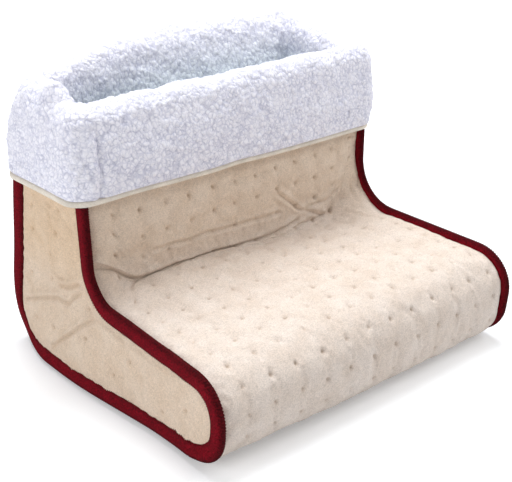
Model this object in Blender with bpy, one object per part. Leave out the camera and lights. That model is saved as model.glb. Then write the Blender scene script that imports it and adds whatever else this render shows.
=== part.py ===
"""Electric foot warmer: quilted boot for both feet, curly-pile lining and cuff, heater under the footbed.

Run with: blender --background --python part.py
Metres, +Z up, toe towards -Y, origin on the floor under the middle of the whole object.
"""

import math

import bmesh
import bpy
import numpy as np
from mathutils import Matrix, Vector

# Clearance between pieces that touch, and the overrun of every cutter
GAP = 0.0003
OVERRUN = 0.002

# The body's outline, seen from the side
BODY_WIDTH = 0.300
TOE_LENGTH = 0.154
SHAFT_DEPTH = 0.0895
HEEL_REACH = 0.030
TOE_TUCK = 0.006
TOE_HEIGHT = 0.067
INSTEP_HEIGHT = 0.079
HEM_HEIGHT = 0.150
RIM_HEIGHT = 0.223
INSIDE_SHARE = 0.548
INSTEP_RADIUS = 0.026
NOSE_RADIUS = 0.028
TOE_RADIUS = 0.024
HEEL_RADIUS = 0.030
WAIST_RADIUS = 0.040
LEAST_RADIUS = 0.002
SOLE_SETBACK = 0.006

# How far the soft back wall leans and rises at its rim: left, middle and right
BACK_LEAN_LEFT = -0.020
BACK_LEAN_MIDDLE = 0.028
BACK_LEAN_RIGHT = 0.022
BACK_RISE_LEFT = 0.002
BACK_RISE_MIDDLE = 0.022
BACK_RISE_RIGHT = 0.019

# The layers of a wall, from outside to inside
COVER = 0.005
PADDING = 0.005
LINING = 0.009

# The quilted upper cover
DOT_PITCH_ACROSS = 0.0241
DOT_PITCH_ALONG = 0.0193
DOT_DEPTH = 0.0028
DOT_STEPS = 3
DOT_PHASE = 2
FADE_ROWS = 4
SOLE_FADE_ROWS = 8
CROWN = 0.006
EDGE_CHAMFER = 0.002

# The sole and its grip dots
SOLE_COVER = 0.0025
GRIP_HEIGHT = 0.001
GRIP_DIAMETER = 0.008
GRIP_PITCH = 0.042
SOLE_PADDING = 0.009
FOOTBED_PLAY = 0.001

# The binding tape round each side panel
BINDING_WIDTH = 0.0115
BINDING_PROUD = 0.006
BINDING_THICKNESS = 0.005
BINDING_ROUNDING = 0.002

# The turned-down cuff and its hem tape
CUFF = 0.009
CUFF_CLEARANCE = 0.0008
HEM_TAPE = 0.005

# The heater
FELT = 0.0015
WIRE_DIAMETER = 0.0024
SLEEVE_DIAMETER = 0.0028
SLEEVE_LENGTH = 0.012
WIRE_RUNS = 9
WIRE_REACH = 0.105
WIRE_FRONT_MARGIN = 0.002
WIRE_BACK_MARGIN = 0.0224
WIRE_TAIL = 0.0154
FEED_STEP = 0.013

# The thermal cut-out
CUTOUT_LENGTH = 0.024
CUTOUT_WIDTH = 0.010
CUTOUT_HEIGHT = 0.0068
CUTOUT_WALL = 0.001
CUTOUT_LID = 0.0008
STRIP_WIDTH = 0.004
STRIP = 0.0005
TAG = 0.005
LEAD_CLIMB = 0.012
CONTACT_DIAMETER = 0.0024
CONTACT_HEIGHT = 0.0006
BLADE_LENGTH = 0.014

# The appliance inlet on the back
INLET_X = 0.095
INLET_HEIGHT = 0.052
INLET_WIDTH = 0.024
INLET_RISE = 0.014
INLET_WALL = 0.0018
INLET_INSET = 0.0072
FLANGE_WIDTH = 0.040
FLANGE_RISE = 0.020
FLANGE = 0.0022
PLATE = 0.0012
PIN_DIAMETER = 0.0024
PIN_SPACING = 0.008
PIN_SHORT = 0.0015
PIN_STUB = 0.0024
RIVET_SPACING = 0.032
RIVET_DIAMETER = 0.0032
RIVET_HEAD = 0.006
RIVET_HEAD_HEIGHT = 0.0012
CHANNEL = 0.006

# How finely curves are divided
ARC_STEPS = 6
WALL_STEPS = 3
BACK_LINE_PITCH = 0.024
SIDE_LINES = 4
ROUND_SIDES = 16
GRIP_SIDES = 6

# Sizes that follow from the ones above
CUFF_REACH = CUFF + CUFF_CLEARANCE
WALL_TOP = RIM_HEIGHT - CUFF - GAP
SEAM = RIM_HEIGHT - (RIM_HEIGHT - HEM_HEIGHT) * INSIDE_SHARE
PADDING_DEPTH = COVER + GAP
LINING_DEPTH = PADDING_DEPTH + PADDING + GAP
WALL = LINING_DEPTH + LINING
HALF = BODY_WIDTH / 2
HALF_COVER = HALF - COVER - GAP
HALF_PADDING = HALF_COVER - PADDING - GAP
HALF_LINING = HALF_PADDING - LINING - GAP
SHEAR_MARGIN = WALL + OVERRUN
SOLE_TOP = GRIP_HEIGHT + SOLE_COVER
PAD_BOTTOM = SOLE_TOP + GAP
PAD_TOP = PAD_BOTTOM + SOLE_PADDING
FELT_BOTTOM = PAD_TOP + GAP
WIRE_HEIGHT = FELT_BOTTOM + FELT + GAP + SLEEVE_DIAMETER / 2
UPPER_FELT = WIRE_HEIGHT + SLEEVE_DIAMETER / 2 + GAP
FOOTBED = UPPER_FELT + FELT + GAP
FOOTBED_TOP = FOOTBED + LINING
LINING_END = FOOTBED_TOP + GAP


def cuff_section():
    """The cuff's fold as outer and inner lines of (depth, z), from its hem over the rim to its seam."""
    outside, inside = -CUFF_REACH, WALL
    hem, seam = HEM_HEIGHT + HEM_TAPE, SEAM + GAP
    radius = (inside - outside) / 2
    shoulder, roof = RIM_HEIGHT - radius, WALL_TOP + GAP
    middle = (outside + inside) / 2
    steps = 2 * WALL_STEPS
    outer = [(outside, hem + (shoulder - hem) * k / steps) for k in range(steps)]
    inner = [(-CUFF_CLEARANCE, hem + (roof - hem) * k / steps) for k in range(steps)]
    for k in range(ARC_STEPS + 1):
        angle = math.pi * (1 - k / ARC_STEPS)
        outer.append((middle + radius * math.cos(angle), shoulder + radius * math.sin(angle)))
        inner.append((-CUFF_CLEARANCE + (LINING_DEPTH + CUFF_CLEARANCE) * k / ARC_STEPS, roof))
    for k in range(1, WALL_STEPS + 1):
        outer.append((inside, shoulder + (seam - shoulder) * k / WALL_STEPS))
        inner.append((LINING_DEPTH, roof + (seam - roof) * k / WALL_STEPS))
    return outer, inner


def through(left, middle, right, share):
    """A smooth curve through three values, at -1, 0 and 1."""
    return middle + (right - left) / 2 * share + ((left + right) / 2 - middle) * share**2


def lift(height):
    """How much of the back wall's lean a height takes: none at the hem, all at the rim."""
    return (np.maximum(height - HEM_HEIGHT, 0) / (RIM_HEIGHT - HEM_HEIGHT)) ** 1.5


def back_bulge():
    """How far the leaning cuff reaches behind the shaft's straight back."""
    across = np.linspace(-1, 1, 101)
    lean = through(BACK_LEAN_LEFT, BACK_LEAN_MIDDLE, BACK_LEAN_RIGHT, across).max()
    return max(lean * lift(z) - depth for depth, z in cuff_section()[0])


def nose_setback():
    """How far the binding's rounded front lies behind the toe's sharp corner."""
    tuck = math.atan2(TOE_TUCK, TOE_HEIGHT - GRIP_HEIGHT - BINDING_PROUD)
    rise = math.atan2(INSTEP_HEIGHT - TOE_HEIGHT, TOE_LENGTH)
    run = NOSE_RADIUS * math.tan((math.pi / 2 - rise + tuck) / 2)
    return run * math.sin(tuck) - NOSE_RADIUS * (1 - math.cos(tuck))


# Places from front to back, with the whole object centred on the origin
HEEL_TURN = math.pi / 2 + math.atan2(HEEL_REACH, HEM_HEIGHT)
HEEL_RUN = HEEL_RADIUS * math.tan(HEEL_TURN / 2) + SOLE_SETBACK
FRONT_REACH = max(BINDING_PROUD, CROWN) - nose_setback()
DEPTH = FRONT_REACH + TOE_LENGTH + SHAFT_DEPTH + back_bulge()
TOE = FRONT_REACH - DEPTH / 2
SHAFT_FRONT = TOE + TOE_LENGTH
SHAFT_BACK = SHAFT_FRONT + SHAFT_DEPTH
HEEL = SHAFT_BACK + HEEL_REACH
FELT_FRONT = TOE + TOE_TUCK + TOE_RADIUS + SOLE_SETBACK
FELT_BACK = HEEL - HEEL_RUN + PADDING
WIRE_START = FELT_FRONT + WIRE_FRONT_MARGIN
WIRE_PITCH = (FELT_BACK - WIRE_BACK_MARGIN - WIRE_START) / WIRE_RUNS
CUTOUT_X = WIRE_REACH - WIRE_TAIL - SLEEVE_LENGTH - 2 * GAP - TAG - CUTOUT_LENGTH / 2


def clear_scene():
    for obj in list(bpy.data.objects):
        bpy.data.objects.remove(obj, do_unlink=True)


def material(name, colour, roughness, metallic=0.0):
    made = bpy.data.materials.new(name)
    made.use_nodes = True
    shader = made.node_tree.nodes["Principled BSDF"]
    shader.inputs["Base Color"].default_value = (*colour, 1.0)
    shader.inputs["Roughness"].default_value = roughness
    shader.inputs["Metallic"].default_value = metallic
    return made


def add_object(name, mesh, finish):
    obj = bpy.data.objects.new(name, mesh)
    obj.data.materials.append(finish)
    bpy.context.scene.collection.objects.link(obj)
    return obj


def add_mesh(name, points, faces, finish, place=None):
    """An object from points and faces, with the faces turned outwards."""
    mesh = bpy.data.meshes.new(name)
    mesh.from_pydata([tuple(p) for p in points], [], faces)
    if place is not None:
        mesh.transform(place)
    work = bmesh.new()
    work.from_mesh(mesh)
    bmesh.ops.recalc_face_normals(work, faces=work.faces)
    work.to_mesh(mesh)
    work.free()
    return add_object(name, mesh, finish)


def box(name, low, high, finish, place=None):
    corners = [(x, y, z) for x in (low[0], high[0]) for y in (low[1], high[1]) for z in (low[2], high[2])]
    faces = [(0, 1, 3, 2), (4, 6, 7, 5), (0, 4, 5, 1), (2, 3, 7, 6), (0, 2, 6, 4), (1, 5, 7, 3)]
    return add_mesh(name, corners, faces, finish, place)


def rod(name, start, end, diameter, finish, place=None, sides=ROUND_SIDES):
    """A round bar from one point to another."""
    start, end = Vector(start), Vector(end)
    along = (end - start).normalized()
    across = along.orthogonal().normalized()
    other = along.cross(across)
    angles = [2 * math.pi * i / sides for i in range(sides)]
    ring = [(across * math.cos(a) + other * math.sin(a)) * (diameter / 2) for a in angles]
    points = [start + r for r in ring] + [end + r for r in ring]
    faces = [tuple(range(sides)), tuple(range(sides, 2 * sides))]
    faces += [(i, (i + 1) % sides, (i + 1) % sides + sides, i + sides) for i in range(sides)]
    return add_mesh(name, points, faces, finish, place)


def cut(obj, *cutters):
    """Takes each cutter out of the object."""
    for cutter in cutters:
        cutter.hide_render = True
        cutter.display_type = "WIRE"
        boolean = obj.modifiers.new("cut", "BOOLEAN")
        boolean.object = cutter
        boolean.operation = "DIFFERENCE"
        boolean.solver = "EXACT"


def tube(name, points, diameter, finish):
    """A wire through the points, with closed ends."""
    curve = bpy.data.curves.new(name, "CURVE")
    curve.dimensions = "3D"
    curve.bevel_depth = diameter / 2
    curve.bevel_resolution = 1
    curve.use_fill_caps = True
    spline = curve.splines.new("POLY")
    spline.points.add(len(points) - 1)
    for slot, point in zip(spline.points, points):
        slot.co = (*point, 1.0)
    return add_object(name, curve, finish)


def bent(corners, radius, steps=5):
    """A line through the corners, each rounded by a short curve."""
    corners = [Vector(c) for c in corners]
    points = [corners[0]]
    for before, corner, after in zip(corners, corners[1:], corners[2:]):
        back = (before - corner).normalized() * min(radius, (before - corner).length / 2)
        ahead = (after - corner).normalized() * min(radius, (after - corner).length / 2)
        for i in range(steps + 1):
            t = i / steps
            points.append(corner + back * (1 - t) ** 2 + ahead * t**2)
    points.append(corners[-1])
    kept = [points[0]]
    for point in points[1:]:
        if (point - kept[-1]).length > GAP:
            kept.append(point)
    return kept


# The outline of the body and of each layer inside it


def corner_list(bottom):
    """The outline's corners as (y, z, radius), from the shaft's front top round the sole to its back."""
    return [
        (SHAFT_FRONT, WALL_TOP, 0),
        (SHAFT_FRONT, SEAM, 0),
        (SHAFT_FRONT, HEM_HEIGHT, 0),
        (SHAFT_FRONT, INSTEP_HEIGHT, INSTEP_RADIUS),
        (TOE, TOE_HEIGHT, NOSE_RADIUS),
        (TOE + TOE_TUCK, bottom, TOE_RADIUS),
        (TOE + TOE_TUCK + TOE_RADIUS + SOLE_SETBACK, bottom, 0),
        (HEEL - HEEL_RUN, bottom, 0),
        (HEEL, bottom, HEEL_RADIUS),
        (SHAFT_BACK, HEM_HEIGHT, WAIST_RADIUS),
        (SHAFT_BACK, SEAM, 0),
        (SHAFT_BACK, WALL_TOP, 0),
    ]


# Where the corners that pieces start and end at stand in that list
FRONT_TOP, FRONT_SEAM, FRONT_HEM = range(3)
SOLE_FRONT, SOLE_BACK = range(6, 8)
WAIST, BACK_SEAM, BACK_TOP = range(9, 12)
DIVIDED = {WAIST: WALL_STEPS, BACK_SEAM: WALL_STEPS}


def outline(depth, bottom=GRIP_HEIGHT):
    """The outline `depth` inside the outer surface, with the first and last index at each corner."""
    corners = corner_list(bottom)
    spots = np.array([c[:2] for c in corners])
    ways = np.diff(spots, axis=0)
    ways /= np.linalg.norm(ways, axis=1)[:, None]
    ways = np.vstack([ways[:1], ways, ways[-1:]])
    inward = np.stack([-ways[:, 1], ways[:, 0]], axis=1)
    points, first, last = [], [], []
    moved = []
    for i in range(len(corners)):
        sum_of_normals = inward[i] + inward[i + 1]
        moved.append(spots[i] + sum_of_normals * depth / (1 + inward[i] @ inward[i + 1]))
    for i, (_, _, radius) in enumerate(corners):
        first.append(len(points))
        before, after = ways[i], ways[i + 1]
        turn = math.atan2(before[0] * after[1] - before[1] * after[0], before @ after)
        if radius and abs(turn) > 0:
            size = max(radius - math.copysign(depth, turn), LEAST_RADIUS)
            start = moved[i] - before * size * math.tan(abs(turn) / 2)
            centre = start + inward[i] * math.copysign(size, turn)
            for k in range(ARC_STEPS + 1):
                angle = turn * k / ARC_STEPS
                arm = start - centre
                points.append(
                    centre
                    + np.array(
                        [
                            arm[0] * math.cos(angle) - arm[1] * math.sin(angle),
                            arm[0] * math.sin(angle) + arm[1] * math.cos(angle),
                        ]
                    )
                )
        else:
            points.append(moved[i])
        last.append(len(points) - 1)
        for k in range(1, DIVIDED.get(i, 0)):
            share = k / DIVIDED[i]
            points.append(points[last[-1]] * (1 - share) + moved[i + 1] * share)
    return np.array(points), first, last


def stretch(depth, start, end, bottom=GRIP_HEIGHT):
    """The outline's points from one corner to another."""
    points, first, last = outline(depth, bottom)
    return points[first[start] : last[end] + 1]


def above(points, height):
    """The line with everything below the height cut off, as (front part, back part)."""
    low = np.nonzero(points[:, 1] < height)[0]
    parts = []
    for kept, inner, outer in (
        (points[: low[0]], low[0], low[0] - 1),
        (points[low[-1] + 1 :], low[-1], low[-1] + 1),
    ):
        share = (height - points[inner, 1]) / (points[outer, 1] - points[inner, 1])
        crossing = points[inner] * (1 - share) + points[outer] * share
        parts.append((kept, crossing[None]))
    (front, front_end), (back, back_end) = parts
    return np.vstack([front, front_end]), np.vstack([back_end, back])


# The lean of the soft back wall


def leaned(points):
    """Points of the straight shaft moved to where the soft back wall and side walls lie."""
    points = np.array(points, dtype=float)
    front, back = SHAFT_FRONT + SHEAR_MARGIN, SHAFT_BACK - SHEAR_MARGIN
    along = np.clip((points[:, 1] - front) / (back - front), 0, 1)
    across = points[:, 0] / HALF
    weight = along * lift(points[:, 2])
    points[:, 1] += weight * through(BACK_LEAN_LEFT, BACK_LEAN_MIDDLE, BACK_LEAN_RIGHT, across)
    points[:, 2] += weight * through(BACK_RISE_LEFT, BACK_RISE_MIDDLE, BACK_RISE_RIGHT, across)
    return points


def side_lines():
    """The depths across the shaft at which the side pieces have a row of points."""
    return np.linspace(SHAFT_FRONT + SHEAR_MARGIN, SHAFT_BACK - SHEAR_MARGIN, SIDE_LINES)


def back_lines(half):
    """The places across the back at which a piece has a column of points, with its own edges."""
    reach = int((HALF_LINING - BACK_LINE_PITCH / 4) / BACK_LINE_PITCH)
    return [-half] + [BACK_LINE_PITCH * i for i in range(-reach, reach + 1)] + [half]


# Solids built from grids of points


def grid_faces(rows, columns, base):
    """The quads of a grid whose points start at `base`."""
    corners = [base + r * columns + c for r in range(rows - 1) for c in range(columns - 1)]
    return [(i, i + 1, i + 1 + columns, i + columns) for i in corners]


def sheet(name, outer, inner, finish):
    """A closed sheet between two grids of points: flat faces close its sides and its ends."""
    rows, columns = outer.shape[:2]
    inner_rows, inner_columns = inner.shape[:2]
    base = rows * columns
    points = np.vstack([outer.reshape(-1, 3), inner.reshape(-1, 3)])
    faces = grid_faces(rows, columns, 0) + grid_faces(inner_rows, inner_columns, base)
    for side, inner_side in ((0, 0), (columns - 1, inner_columns - 1)):
        edge = [r * columns + side for r in range(rows)]
        other = [base + r * inner_columns + inner_side for r in range(inner_rows)]
        faces += ladder(edge, other)
    for end, inner_end in ((0, 0), (rows - 1, inner_rows - 1)):
        edge = [end * columns + c for c in range(columns)]
        other = [base + inner_end * inner_columns + c for c in range(inner_columns)]
        faces += ladder(edge, other)
    return add_mesh(name, leaned(points), faces, finish)


def ladder(edge, other):
    """Faces between two lines of points: quads where they match, else one face."""
    if len(edge) == len(other):
        return [(edge[i], edge[i + 1], other[i + 1], other[i]) for i in range(len(edge) - 1)]
    return [tuple(edge) + tuple(reversed(other))]


def swept(line, places):
    """A grid: the (y, z) line at each place across."""
    return np.array([[(x, y, z) for x in places] for y, z in line])


def plate(name, loops, finish):
    """A flat solid whose outline is given at each step across, as (x, points)."""
    count = len(loops[0][1])
    points = np.vstack([[(x, y, z) for y, z in loop] for x, loop in loops])
    faces = [tuple(range(count)), tuple(range((len(loops) - 1) * count, len(loops) * count))]
    for k in range(len(loops) - 1):
        low, high = k * count, (k + 1) * count
        faces += [(low + i, low + (i + 1) % count, high + (i + 1) % count, high + i) for i in range(count)]
    return add_mesh(name, leaned(points), faces, finish)


def closed_over(line, height):
    """The outline closed along its top, with a point at each of the shaft's rows."""
    top = [(y, height) for y in reversed(side_lines())]
    return np.vstack([line, top])


# The sewn covers


def walk(points, step):
    """Evenly spaced points along a line, and the inward normal at each."""
    lengths = np.r_[0, np.cumsum(np.linalg.norm(np.diff(points, axis=0), axis=1))]
    count = max(2, round(lengths[-1] / step))
    places = np.linspace(0, lengths[-1], count + 1)
    spots = np.stack([np.interp(places, lengths, points[:, k]) for k in (0, 1)], axis=1)
    ways = np.gradient(spots, axis=0)
    ways /= np.linalg.norm(ways, axis=1)[:, None]
    return spots, np.stack([-ways[:, 1], ways[:, 0]], axis=1)


def upper_cover(finish):
    """One quilted strip from under the cuff, over the instep and the toe, to the sole."""
    points, first, last = outline(0)
    hidden = points[: last[FRONT_SEAM] + 1]
    shown = points[last[FRONT_HEM] : last[SOLE_FRONT] + 1]
    spots, normals = walk(shown, DOT_PITCH_ALONG / DOT_STEPS)
    half_columns = round(HALF_COVER / DOT_PITCH_ACROSS) * 2
    shares = np.linspace(-1, 1, 2 * half_columns + 1)
    rows = [[(share * HALF_COVER, y, z) for share in shares] for y, z in hidden]
    for r, (spot, normal) in enumerate(zip(spots, normals)):
        fade = min(r / FADE_ROWS, (len(spots) - 1 - r) / SOLE_FADE_ROWS, 1)
        dotted = r % DOT_STEPS == DOT_PHASE and r < len(spots) - FADE_ROWS
        row = []
        for c, share in enumerate(shares):
            rise = CROWN * (1 - share**4) * fade
            if dotted and c % 2:
                rise -= DOT_DEPTH
            y, z = spot - normal * rise
            row.append((share * HALF_COVER, y, z))
        rows.append(row)
    inner = swept(stretch(COVER, FRONT_TOP, SOLE_FRONT), (-HALF_COVER, HALF_COVER))
    return sheet("upper_cover", np.array(rows), inner, finish)


def back_strip(name, start, thickness, half, finish):
    """A layer of the back wall between two depths."""
    lines = back_lines(half)
    outer = swept(stretch(start, SOLE_BACK, BACK_TOP), lines)
    inner = swept(stretch(start + thickness, SOLE_BACK, BACK_TOP), lines)
    return sheet(name, outer, inner, finish)


def side_cover(name, side, finish):
    """A side panel, chamfered towards its binding."""
    bottom = GRIP_HEIGHT + BINDING_PROUD
    inset = BINDING_WIDTH - BINDING_PROUD + GAP
    loops = []
    for x, extra in ((HALF - COVER, 0), (HALF - EDGE_CHAMFER, 0), (HALF, EDGE_CHAMFER)):
        line = stretch(inset + extra, FRONT_TOP, BACK_TOP, bottom)
        loops.append((side * x, closed_over(line, WALL_TOP)))
    return plate(name, loops, finish)


def side_padding(name, side, finish):
    line = closed_over(stretch(PADDING_DEPTH, FRONT_TOP, BACK_TOP), WALL_TOP)
    return plate(name, [(side * HALF_COVER, line), (side * (HALF_COVER - PADDING), line)], finish)


def side_lining(name, side, finish):
    front, back = above(stretch(LINING_DEPTH, FRONT_SEAM, BACK_SEAM), LINING_END)
    line = closed_over(np.vstack([front, back]), SEAM)
    return plate(name, [(side * HALF_PADDING, line), (side * (HALF_PADDING - LINING), line)], finish)


def binding(name, side, finish):
    """The ribbed tape folded over a side panel's seam, from the cuff's hem round the sole and up again."""
    bottom = GRIP_HEIGHT + BINDING_PROUD
    depth = BINDING_WIDTH / 2 - BINDING_PROUD
    line = stretch(depth, FRONT_HEM, WAIST, bottom)
    line = np.vstack([line[0] - (0, GAP), line[1:]])
    line = line[line[:, 1] <= HEM_HEIGHT - GAP]
    ways = np.gradient(line, axis=0)
    ways /= np.linalg.norm(ways, axis=1)[:, None]
    ways[0] = (0, -1)
    normals = np.stack([-ways[:, 1], ways[:, 0]], axis=1)
    wide, thick, round_off = BINDING_WIDTH / 2, BINDING_THICKNESS / 2, BINDING_ROUNDING
    section = [
        (-thick, -wide + round_off),
        (-thick + round_off, -wide),
        (thick - round_off, -wide),
        (thick, -wide + round_off),
        (thick, wide - round_off),
        (thick - round_off, wide),
        (-thick + round_off, wide),
        (-thick, wide - round_off),
    ]
    middle = HALF - COVER + BINDING_THICKNESS / 2
    points = []
    for (y, z), (ny, nz) in zip(line, normals):
        points += [(side * (middle + u), y + ny * v, z + nz * v) for u, v in section]
    count = len(section)
    faces = [tuple(range(count)), tuple(range(len(points) - count, len(points)))]
    for k in range(len(line) - 1):
        low, high = k * count, (k + 1) * count
        faces += [(low + i, low + (i + 1) % count, high + (i + 1) % count, high + i) for i in range(count)]
    return add_mesh(name, points, faces, finish)


def sole_cover(finish):
    """The sole panel with its moulded grip dots, all one piece."""
    front = corner_list(0)[SOLE_FRONT][0] + GAP
    back = corner_list(0)[SOLE_BACK][0] - GAP
    cover = box("sole_cover", (-HALF_COVER, front, GRIP_HEIGHT), (HALF_COVER, back, SOLE_TOP), finish)
    across = int((HALF_COVER - GRIP_DIAMETER) / GRIP_PITCH)
    middle, along = (front + back) / 2, int((back - front - 2 * GRIP_DIAMETER) / GRIP_PITCH / 2)
    for i in range(-across, across + 1):
        for k in range(-along, along + 1):
            x, y = i * GRIP_PITCH, middle + k * GRIP_PITCH
            top = GRIP_HEIGHT + SOLE_COVER / 2
            dot = rod("grip_dot", (x, y, 0), (x, y, top), GRIP_DIAMETER, finish, sides=GRIP_SIDES)
            dot.hide_render = True
            dot.display_type = "WIRE"
            joined = cover.modifiers.new("grip", "BOOLEAN")
            joined.object = dot
            joined.operation = "UNION"
            joined.solver = "EXACT"
    return cover


def sole_padding(finish):
    front = corner_list(0)[SOLE_FRONT][0] + GAP
    back = corner_list(0)[SOLE_BACK][0] - GAP
    return box("sole_padding", (-HALF_PADDING, front, PAD_BOTTOM), (HALF_PADDING, back, PAD_TOP), finish)


def upper_padding(finish):
    """Padding behind the upper cover."""
    places = (-HALF_PADDING, HALF_PADDING)
    outer = swept(stretch(PADDING_DEPTH, FRONT_TOP, SOLE_FRONT), places)
    inner = swept(stretch(PADDING_DEPTH + PADDING, FRONT_TOP, SOLE_FRONT), places)
    return sheet("upper_padding", outer, inner, finish)


def wall_linings(finish):
    """The pile lining of the front and of the back, standing on the footbed."""
    outer = above(stretch(LINING_DEPTH, FRONT_SEAM, BACK_SEAM), LINING_END)
    inner = above(stretch(WALL, FRONT_SEAM, BACK_SEAM), LINING_END)
    places = (-HALF_LINING, HALF_LINING)
    sheet("upper_lining", swept(outer[0], places), swept(inner[0], places), finish)
    lines = back_lines(HALF_LINING)
    sheet("back_lining", swept(outer[1], lines), swept(inner[1], lines), finish)


# The turned-down cuff


def cuff_panel(name, wall, finish):
    """One panel of the cuff, mitred where it meets its neighbours. `wall` is front, back, left or right."""
    outer, inner = cuff_section()
    if wall in ("left", "right"):
        side = -1 if wall == "left" else 1

        def station(depth, z):
            low, high = SHAFT_FRONT + depth + GAP, SHAFT_BACK - depth - GAP
            return [(side * (HALF - depth), y, z) for y in [low, *side_lines(), high]]

    else:

        def station(depth, z):
            y = SHAFT_FRONT + depth if wall == "front" else SHAFT_BACK - depth
            return [(x, y, z) for x in back_lines(HALF - depth - GAP)]

    skin = [station(*p) for p in outer]
    back = [station(*p) for p in inner]
    rows, columns = len(skin), len(skin[0])
    base = rows * columns
    points = np.array(skin + back).reshape(-1, 3)
    faces = grid_faces(rows, columns, 0) + grid_faces(rows, columns, base)
    for end in (0, rows - 1):
        edge = [end * columns + c for c in range(columns)]
        faces += ladder(edge, [base + i for i in edge])
    for side_column in (0, columns - 1):
        edge = [r * columns + side_column for r in range(rows)]
        for low, high in zip(edge, edge[1:]):
            faces += [(low, high, base + low), (high, base + high, base + low)]
    return add_mesh(name, leaned(points), faces, finish)


def hem_tape(finish):
    """The cream tape sewn round the cuff's lower edge, one closed ring."""
    low, high = HEM_HEIGHT, HEM_HEIGHT + HEM_TAPE - GAP
    points = []
    for depth in (-CUFF_REACH, -CUFF_CLEARANCE):
        x, front, back = HALF - depth, SHAFT_FRONT + depth, SHAFT_BACK - depth
        corners = [(-x, front), (x, front), (x, back), (-x, back)]
        points += [(*c, low) for c in corners] + [(*c, high) for c in corners]
    faces = []
    for i in range(4):
        k = (i + 1) % 4
        faces += [(i, k, k + 4, i + 4), (i + 8, k + 8, k + 12, i + 12)]
        faces += [(i, k, k + 8, i + 8), (i + 4, k + 4, k + 12, i + 12)]
    return add_mesh("cuff_hem_tape", points, faces, finish)


# The heater under the footbed


def reach_at(radius, height):
    """How far a rounded inner corner comes in at a height above the layer's bottom."""
    below = max(radius - height, 0)
    return radius - math.sqrt(max(radius**2 - below**2, 0))


def footbed(finish):
    """The pile lining underfoot."""
    toe_corner = max(TOE_RADIUS - LINING_DEPTH, LEAST_RADIUS)
    front = TOE + TOE_TUCK + LINING_DEPTH + reach_at(toe_corner, FOOTBED - PAD_TOP) + GAP
    inner, back_line = above(stretch(LINING_DEPTH, FRONT_TOP, BACK_TOP), FOOTBED)
    back = back_line[0][0] - FOOTBED_PLAY
    return box("sole_lining", (-HALF_PADDING, front, FOOTBED), (HALF_PADDING, back, FOOTBED_TOP), finish)


def wire_rows():
    return [WIRE_START + WIRE_PITCH * i for i in range(WIRE_RUNS + 1)]


def heating_wire(finish):
    """One unbroken serpentine: a feed up the left side, then runs to and fro to the cut-out's splice."""
    rows = wire_rows()
    feed = -WIRE_REACH - FEED_STEP
    route = [(feed, rows[-1] - SLEEVE_LENGTH, WIRE_HEIGHT), (feed, rows[0], WIRE_HEIGHT)]
    for i, y in enumerate(rows[:-1]):
        end = WIRE_REACH if i % 2 == 0 else -WIRE_REACH
        if i:
            route.append((-end, y, WIRE_HEIGHT))
        route.append((end, y, WIRE_HEIGHT))
    route.append((WIRE_REACH, rows[-1], WIRE_HEIGHT))
    route.append((splice_end(), rows[-1], WIRE_HEIGHT))
    points = bent(route, WIRE_PITCH / 2)
    print(f"heating wire: least gap between its runs {1000 * least_gap(points, WIRE_DIAMETER):.1f} mm")
    return tube("heating_wire", points, WIRE_DIAMETER, finish)


def least_gap(points, diameter):
    """The least clear distance between stretches of a line that aren't neighbours."""
    dense = []
    for a, b in zip(points, points[1:]):
        steps = max(1, round((b - a).length / diameter))
        dense += [a.lerp(b, k / steps) for k in range(steps)]
    spots = np.array([tuple(p) for p in dense])
    far = int(WIRE_PITCH * math.pi / diameter / 2) + 2
    least = min(np.linalg.norm(spots[i + far :] - spots[i], axis=1).min() for i in range(len(spots) - far))
    return least - diameter


def splice_end():
    """Where the heating wire meets the splice on the cut-out's tag."""
    return CUTOUT_X + CUTOUT_LENGTH / 2 + TAG + GAP + SLEEVE_LENGTH + GAP


def heater(felt, wire, sleeve):
    low = (-HALF_PADDING, FELT_FRONT, FELT_BOTTOM)
    lower = box("lower_felt", low, (HALF_PADDING, FELT_BACK, FELT_BOTTOM + FELT), felt)
    low = (-HALF_PADDING, FELT_FRONT, UPPER_FELT)
    box("upper_felt", low, (HALF_PADDING, FELT_BACK, UPPER_FELT + FELT), felt)
    heating_wire(wire)
    y = wire_rows()[-1]
    end = (splice_end() - GAP, y, WIRE_HEIGHT)
    start = (splice_end() - GAP - SLEEVE_LENGTH, y, WIRE_HEIGHT)
    rod("cutout_splice", start, end, SLEEVE_DIAMETER, sleeve)
    feed = -WIRE_REACH - FEED_STEP
    start = (feed, y - SLEEVE_LENGTH + GAP, WIRE_HEIGHT)
    end = (feed, y + GAP, WIRE_HEIGHT)
    rod("feed_splice", start, end, SLEEVE_DIAMETER, sleeve)
    return lower


# The thermal cut-out, in a pocket of the sole padding


def cutout_box(margin):
    """The cut-out's case, grown by a margin."""
    y, top = wire_rows()[-1], UPPER_FELT - GAP
    along, across = CUTOUT_LENGTH / 2 + margin, CUTOUT_WIDTH / 2 + margin
    low = (CUTOUT_X - along, y - across, top - CUTOUT_HEIGHT - margin)
    high = (CUTOUT_X + along, y + across, top + margin)
    return low, high


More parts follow.
